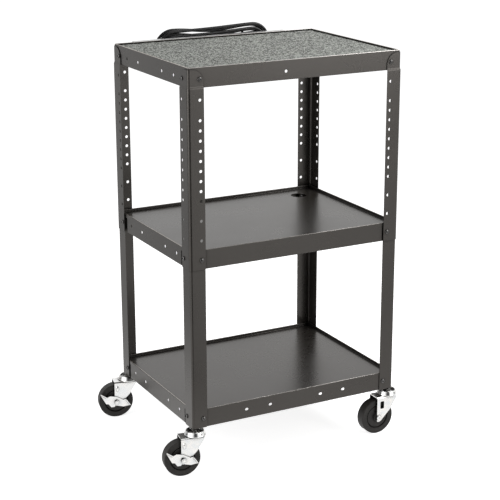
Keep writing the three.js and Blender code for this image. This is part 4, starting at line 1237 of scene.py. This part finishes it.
def make_hooks():
    """A strip on the housing with two rods that turn up at their ends."""
    y = HOUSING_BACK + CLEARANCE
    middle = (hook_height(-1) + hook_height(1)) / 2
    half = BRACKET_HEIGHT / 2
    plan = shifted(rounded(HOOK_PLACE + half, half, half - CLEARANCE), HANK_PLACE, middle)
    strip = softened(upright(plan, y, y + BRACKET_SHEET), CLEARANCE)
    parts = [strip]
    for side in SIDES:
        z, x = hook_height(side), HANK_PLACE + side * HOOK_PLACE
        bend = HOOK_DIAMETER
        path = [(x, y + BRACKET_SHEET / 2, z), (x, y + HOOK_REACH - bend, z)]
        path += [(x, y + HOOK_REACH - bend + bend * math.sin(a), z + bend - bend * math.cos(a))
                 for a in (math.pi / 2 * i / ARC_STEPS for i in range(1, ARC_STEPS))]
        path += [(x, y + HOOK_REACH, z + bend), (x, y + HOOK_REACH, z + HOOK_RISE)]
        parts.append(rod(path, HOOK_DIAMETER))
    mesh = joined(parts)
    mesh.transform(AT_CART)
    piece("hook_strip", mesh, PAINT, "upper_frame", ["cord_bracket"])


def rod(path, diameter):
    """A round rod along points in a plane across X, with round ends."""
    points = [Vector(point) for point in path]
    rings = []
    for i, point in enumerate(points):
        along = (points[min(i + 1, len(points) - 1)] - points[max(i - 1, 0)]).normalized()
        out = Vector((1, 0, 0))
        up = along.cross(out)
        sizes = [(1, 0)]
        if i == 0:
            sizes = ROD_START_SHARES
        if i == len(points) - 1:
            sizes = ROD_END_SHARES
        for width, ahead in sizes:
            centre = point + along * ahead * diameter
            rings.append([centre + (out * math.cos(a) + up * math.sin(a)) * diameter / 2 * width
                          for a in around(HOLE_SIDES)])
    return loft(rings)


# Cord
def loop_length(ring):
    return 4 * HANK_HALF_RUN + 2 * math.pi * (HANK_RADIUS + HANK_STEP * ring)


def loop_place(travel, radius):
    """Place on a loop after a travel from the middle of its lower run, counterclockwise from the front."""
    bend = math.pi * radius
    run = 2 * HANK_HALF_RUN
    right_bend = travel - HANK_HALF_RUN
    upper_run = right_bend - bend
    left_bend = upper_run - run
    last_run = left_bend - bend

    def on_bend(angle, side):
        return side * (HANK_HALF_RUN + radius * math.sin(angle)), -side * radius * math.cos(angle)

    if right_bend < 0:
        return travel, -radius
    if upper_run < 0:
        return on_bend(right_bend / radius, 1)
    if left_bend < 0:
        return HANK_HALF_RUN - upper_run, radius
    if last_run < 0:
        return on_bend(left_bend / radius, -1)
    return last_run - HANK_HALF_RUN, -radius


def hank_point(turn):
    """Centre of the cord at a turn: loops that spiral in, climb along a run and spiral out, sagging."""
    middle = HANK_TURNS / 2
    ring = abs(turn - middle)
    radius = HANK_RADIUS + HANK_STEP * ring
    x, rise = loop_place((turn - math.floor(turn)) * loop_length(ring), radius)
    draw = (1 + math.cos(math.pi * x / HANK_HALF_RUN)) / 2 if abs(x) < HANK_HALF_RUN else 0
    share = min(max((HANK_HALF_RUN - x) / (2 * HANK_HALF_RUN), 0), 1)
    climb = share * share * (3 - 2 * share)
    layer = climb if ring < HANK_CLIMB_SHARE / 2 else float(turn > middle)
    z = rise * (1 - HANK_WAIST_SHARE * draw * (1 - ring / middle)) - HANK_SAG * draw * layer
    tilt = HANK_TILT * x / HANK_HALF_RUN
    return Vector((HANK_PLACE + x, HANK_FIRST_LAYER + layer * HANK_LAYER_PITCH, HANK_HEIGHT + z + tilt))


def through(points):
    """A smooth line through points, whose speed follows the square root of their distances."""
    points = [2 * points[0] - points[1], *points, 2 * points[-1] - points[-2]]
    line = []
    for before, start, end, after in zip(points, points[1:], points[2:], points[3:]):
        spans = [math.sqrt((b - a).length) for a, b in ((before, start), (start, end), (end, after))]
        first, middle, last = spans
        leave = (start - before) / first - (end - before) / (first + middle) + (end - start) / middle
        arrive = (end - start) / middle - (after - start) / (middle + last) + (after - end) / last
        for i in range(SPLINE_STEPS):
            t = i / SPLINE_STEPS
            line.append(start * (2 * t**3 - 3 * t**2 + 1) + leave * middle * (t**3 - 2 * t**2 + t)
                        + end * (3 * t**2 - 2 * t**3) + arrive * middle * (t**3 - t**2))
    return [*line, points[-2]]


def cord_route():
    """From the gland down into the hank, through its turns, and on to the plug."""
    gland_y = (HOUSING_FRONT + HOUSING_BACK) / 2
    top = HOUSING_FOOT - GLAND_LENGTH - CLEARANCE
    first, last = hank_point(0), hank_point(HANK_TURNS)
    near, far = first.y, last.y
    supply = [(GLAND_PLACE, gland_y, top), (GLAND_PLACE, gland_y, top - CORD_DIAMETER), *SUPPLY_POINTS]
    supply += [(x, near, z) for x, z in SUPPLY_END_POINTS]
    supply += [(first.x - lead * CORD_DIAMETER, near, first.z) for lead in LEAD_SHARES]
    plug = [(last.x + lead * CORD_DIAMETER, far, last.z) for lead in reversed(LEAD_SHARES)]
    plug += [(PLUG_POINT[0], far, PLUG_POINT[1])]
    plug += [plug_place() @ Vector((0, 0, rise)) for rise in (CORD_DIAMETER, CLEARANCE)]
    turns = [hank_point(i / HANK_STEPS) for i in range(HANK_TURNS * HANK_STEPS + 1)]
    route = through([Vector(point) for point in supply]) + turns + through([Vector(point) for point in plug])
    return [AT_CART @ point for point in route]


def plug_place():
    """Where the top of the plug's neck lies, with the plug's axis along Z."""
    middle = Matrix.Translation((PLUG_PLACE, hank_point(HANK_TURNS).y, PLUG_TOP))
    return middle @ Matrix.Rotation(math.radians(-PLUG_TILT), 4, "Y")


def plug_body():
    """The plug's body: a neck with ribs and a rounded grip that narrows to the neck."""
    neck_foot = -PLUG_NECK_LENGTH
    foot = neck_foot - PLUG_LENGTH
    levels = [(share, foot + PLUG_LENGTH * along) for share, along in PLUG_GRIP_SHARES]
    for i in range(PLUG_RIBS):
        low = foot + PLUG_LENGTH * (PLUG_RIB_START_SHARE + PLUG_RIB_STEP_SHARE * i)
        levels += [(share, low + PLUG_LENGTH * along) for share, along in PLUG_RIB_SHARES]
    levels += [(PLUG_SHOULDER_SHARE, foot + PLUG_LENGTH * PLUG_SHOULDER_SHARE), (PLUG_TOP_SHARE, neck_foot)]
    rings = []
    for share, z in levels:
        half_x, half_y = PLUG_WIDTH / 2 * share, PLUG_THICKNESS / 2 * share
        rings.append([(x, y, z) for x, y in rounded(half_x, half_y, PLUG_THICKNESS / 4 * share)])
    profile = [(0, neck_foot - CLEARANCE), (PLUG_NECK_DIAMETER / 2, neck_foot - CLEARANCE)]
    for i in range(PLUG_RIBS):
        radius = PLUG_NECK_DIAMETER / 2 + (CORD_DIAMETER - PLUG_NECK_DIAMETER) / 2 * i / PLUG_RIBS
        low = neck_foot + PLUG_NECK_LENGTH * i / PLUG_RIBS
        step = PLUG_NECK_LENGTH / PLUG_RIBS
        profile += [(radius - inward * CLEARANCE, low + step * along) for inward, along in NECK_RIB_SHARES]
    profile.append((0, profile[-1][1]))
    return joined([loft(rings), revolved(profile)])


def plug_pins():
    foot = -PLUG_NECK_LENGTH - PLUG_LENGTH
    tip = foot - BLADE_LENGTH
    parts = [block((side * SLOT_SPACING / 2 - BLADE_SHEET / 2, -BLADE_WIDTH / 2, tip),
                   (side * SLOT_SPACING / 2 + BLADE_SHEET / 2, BLADE_WIDTH / 2, foot + BLADE_SHEET))
             for side in SIDES]
    radius, top = GROUND_PIN_DIAMETER / 2, foot + BLADE_SHEET
    pin = revolved([(0, tip), (radius / 2, tip), (radius, tip + radius), (radius, top), (0, top)])
    pin.transform(Matrix.Translation((0, GROUND_DROP, 0)))
    return joined([softened(mesh, CLEARANCE) for mesh in parts] + [pin])


def make_cord():
    route = cord_route()
    curve = bpy.data.curves.new("power_cord", "CURVE")
    curve.dimensions = "3D"
    curve.bevel_depth = CORD_DIAMETER / 2
    curve.bevel_resolution = CORD_BEVEL_STEPS
    curve.use_fill_caps = True
    spline = curve.splines.new("POLY")
    spline.points.add(len(route) - 1)
    for control, point in zip(spline.points, route):
        control.co = (*point, 1)
    spline.use_smooth = True
    curve.materials.append(JACKET)
    item = placed("power_cord", curve)
    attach(item, "upper_frame")
    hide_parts("cord_hank", "supply_lead", "plug_lead")
    body, pins = plug_body(), plug_pins()
    for mesh in (body, pins):
        mesh.transform(AT_CART @ plug_place())
    plug = piece("plug_body", body, PLASTIC, "upper_frame", ["power_plug"])
    blades = piece("plug_pins", pins, ZINC, "upper_frame")


# Camera, stage and light
def make_camera():
    camera = bpy.data.cameras.new("camera")
    camera.sensor_width = SENSOR_WIDTH * 1000
    camera.lens = FOCAL_PIXELS / PICTURE_PIXELS * camera.sensor_width
    camera.clip_end = CAMERA_REACH
    item = placed("camera", camera)
    turn = Matrix.Rotation(math.radians(CAMERA_AZIMUTH), 4, "Z")
    tilt = Matrix.Rotation(math.radians(90 - CAMERA_ELEVATION), 4, "X")
    roll = Matrix.Rotation(math.radians(CAMERA_ROLL), 4, "Z")
    item.matrix_world = Matrix.Translation(CAMERA_PLACE) @ turn @ tilt @ roll
    bpy.context.scene.camera = item


def surroundings(owner, coordinate):
    """What surfaces mirror about the cart: white cards, with a dark gap towards the front left."""
    place = node(owner, "TexCoord", coordinate, {})
    turn = node(owner, "TexGradient", "Fac", {"Vector": place}, gradient_type="RADIAL")
    return ramp(owner, turn, [(position, grey(level)) for position, level in MIRRORED])


def shown(owner, target, plain, mirrored):
    """Shows one shader to what mirrors and another to everything else."""
    glossy = node(owner, "LightPath", "Is Glossy Ray", {})
    choice = node(owner, "MixShader", "Shader", {"Fac": glossy, 1: plain, 2: mirrored})
    feed(owner, owner.node_tree.nodes[target], {"Surface": choice})


def make_floor():
    """A white floor, whose mirror image darkens away from the cart as the surroundings do."""
    mesh = block((-FLOOR_SIZE, -FLOOR_SIZE, -FLOOR_THICKNESS), (FLOOR_SIZE, FLOOR_SIZE, 0))
    material, shader = new_material("white floor", grey(0.9), 0.9)
    seen = node(material, "LightPath", "Is Camera Ray", {})
    feed(material, shader, {"Emission Color": (*grey(0.8), 1), "Emission Strength": seen,
                            "Specular IOR Level": 0.0})
    place = node(material, "TexCoord", "Object", {})
    reach = node(material, "VectorMath", "Value", {0: place}, operation="LENGTH")
    far = node(material, "MapRange", "Result",
               {"Value": reach, "From Min": WHITE_REACH, "From Max": DARK_REACH})
    around_cart = surroundings(material, "Object")
    blend = node(material, "Mix", "Result", {"A": (*grey(1), 1), "B": around_cart, "Factor": far},
                 data_type="RGBA")
    mirrored = node(material, "Emission", "Emission", {"Color": blend})
    shown(material, "Material Output", shader.outputs["BSDF"], mirrored)
    mesh.materials.append(material)
    placed("floor", mesh)


def make_world():
    """White for the camera, the surroundings for what mirrors, and a soft fill for the rest."""
    world = bpy.data.worlds.new("studio")
    bpy.context.scene.world = world
    world.use_nodes = True
    fill = world.node_tree.nodes["Background"]
    seen = node(world, "LightPath", "Is Camera Ray", {})
    feed(world, fill, {"Color": (*grey(1), 1), "Strength": spread(world, seen, WORLD_FILL, 1.0)})
    mirrored = node(world, "Background", "Background", {"Color": surroundings(world, "Generated")})
    shown(world, "World Output", fill.outputs["Background"], mirrored)


def make_lamp(name, place, size, power):
    lamp = bpy.data.lights.new(name, "AREA")
    lamp.shape = "RECTANGLE"
    lamp.size, lamp.size_y = size
    lamp.energy = power
    turn = (Vector(LAMP_TARGET) - Vector(place)).to_track_quat("-Z", "Y").to_matrix().to_4x4()
    placed(name, lamp).matrix_world = Matrix.Translation(place) @ turn


def make_lights():
    for lamp in LAMPS:
        make_lamp(*lamp)
    make_world()


make_camera()
make_cord()
make_floor()
make_lights()
make_shelves()
make_mat()
make_legs()
make_bolts()
make_casters()
make_housing()
make_hooks()
bpy.context.scene.view_settings.view_transform = "Standard"
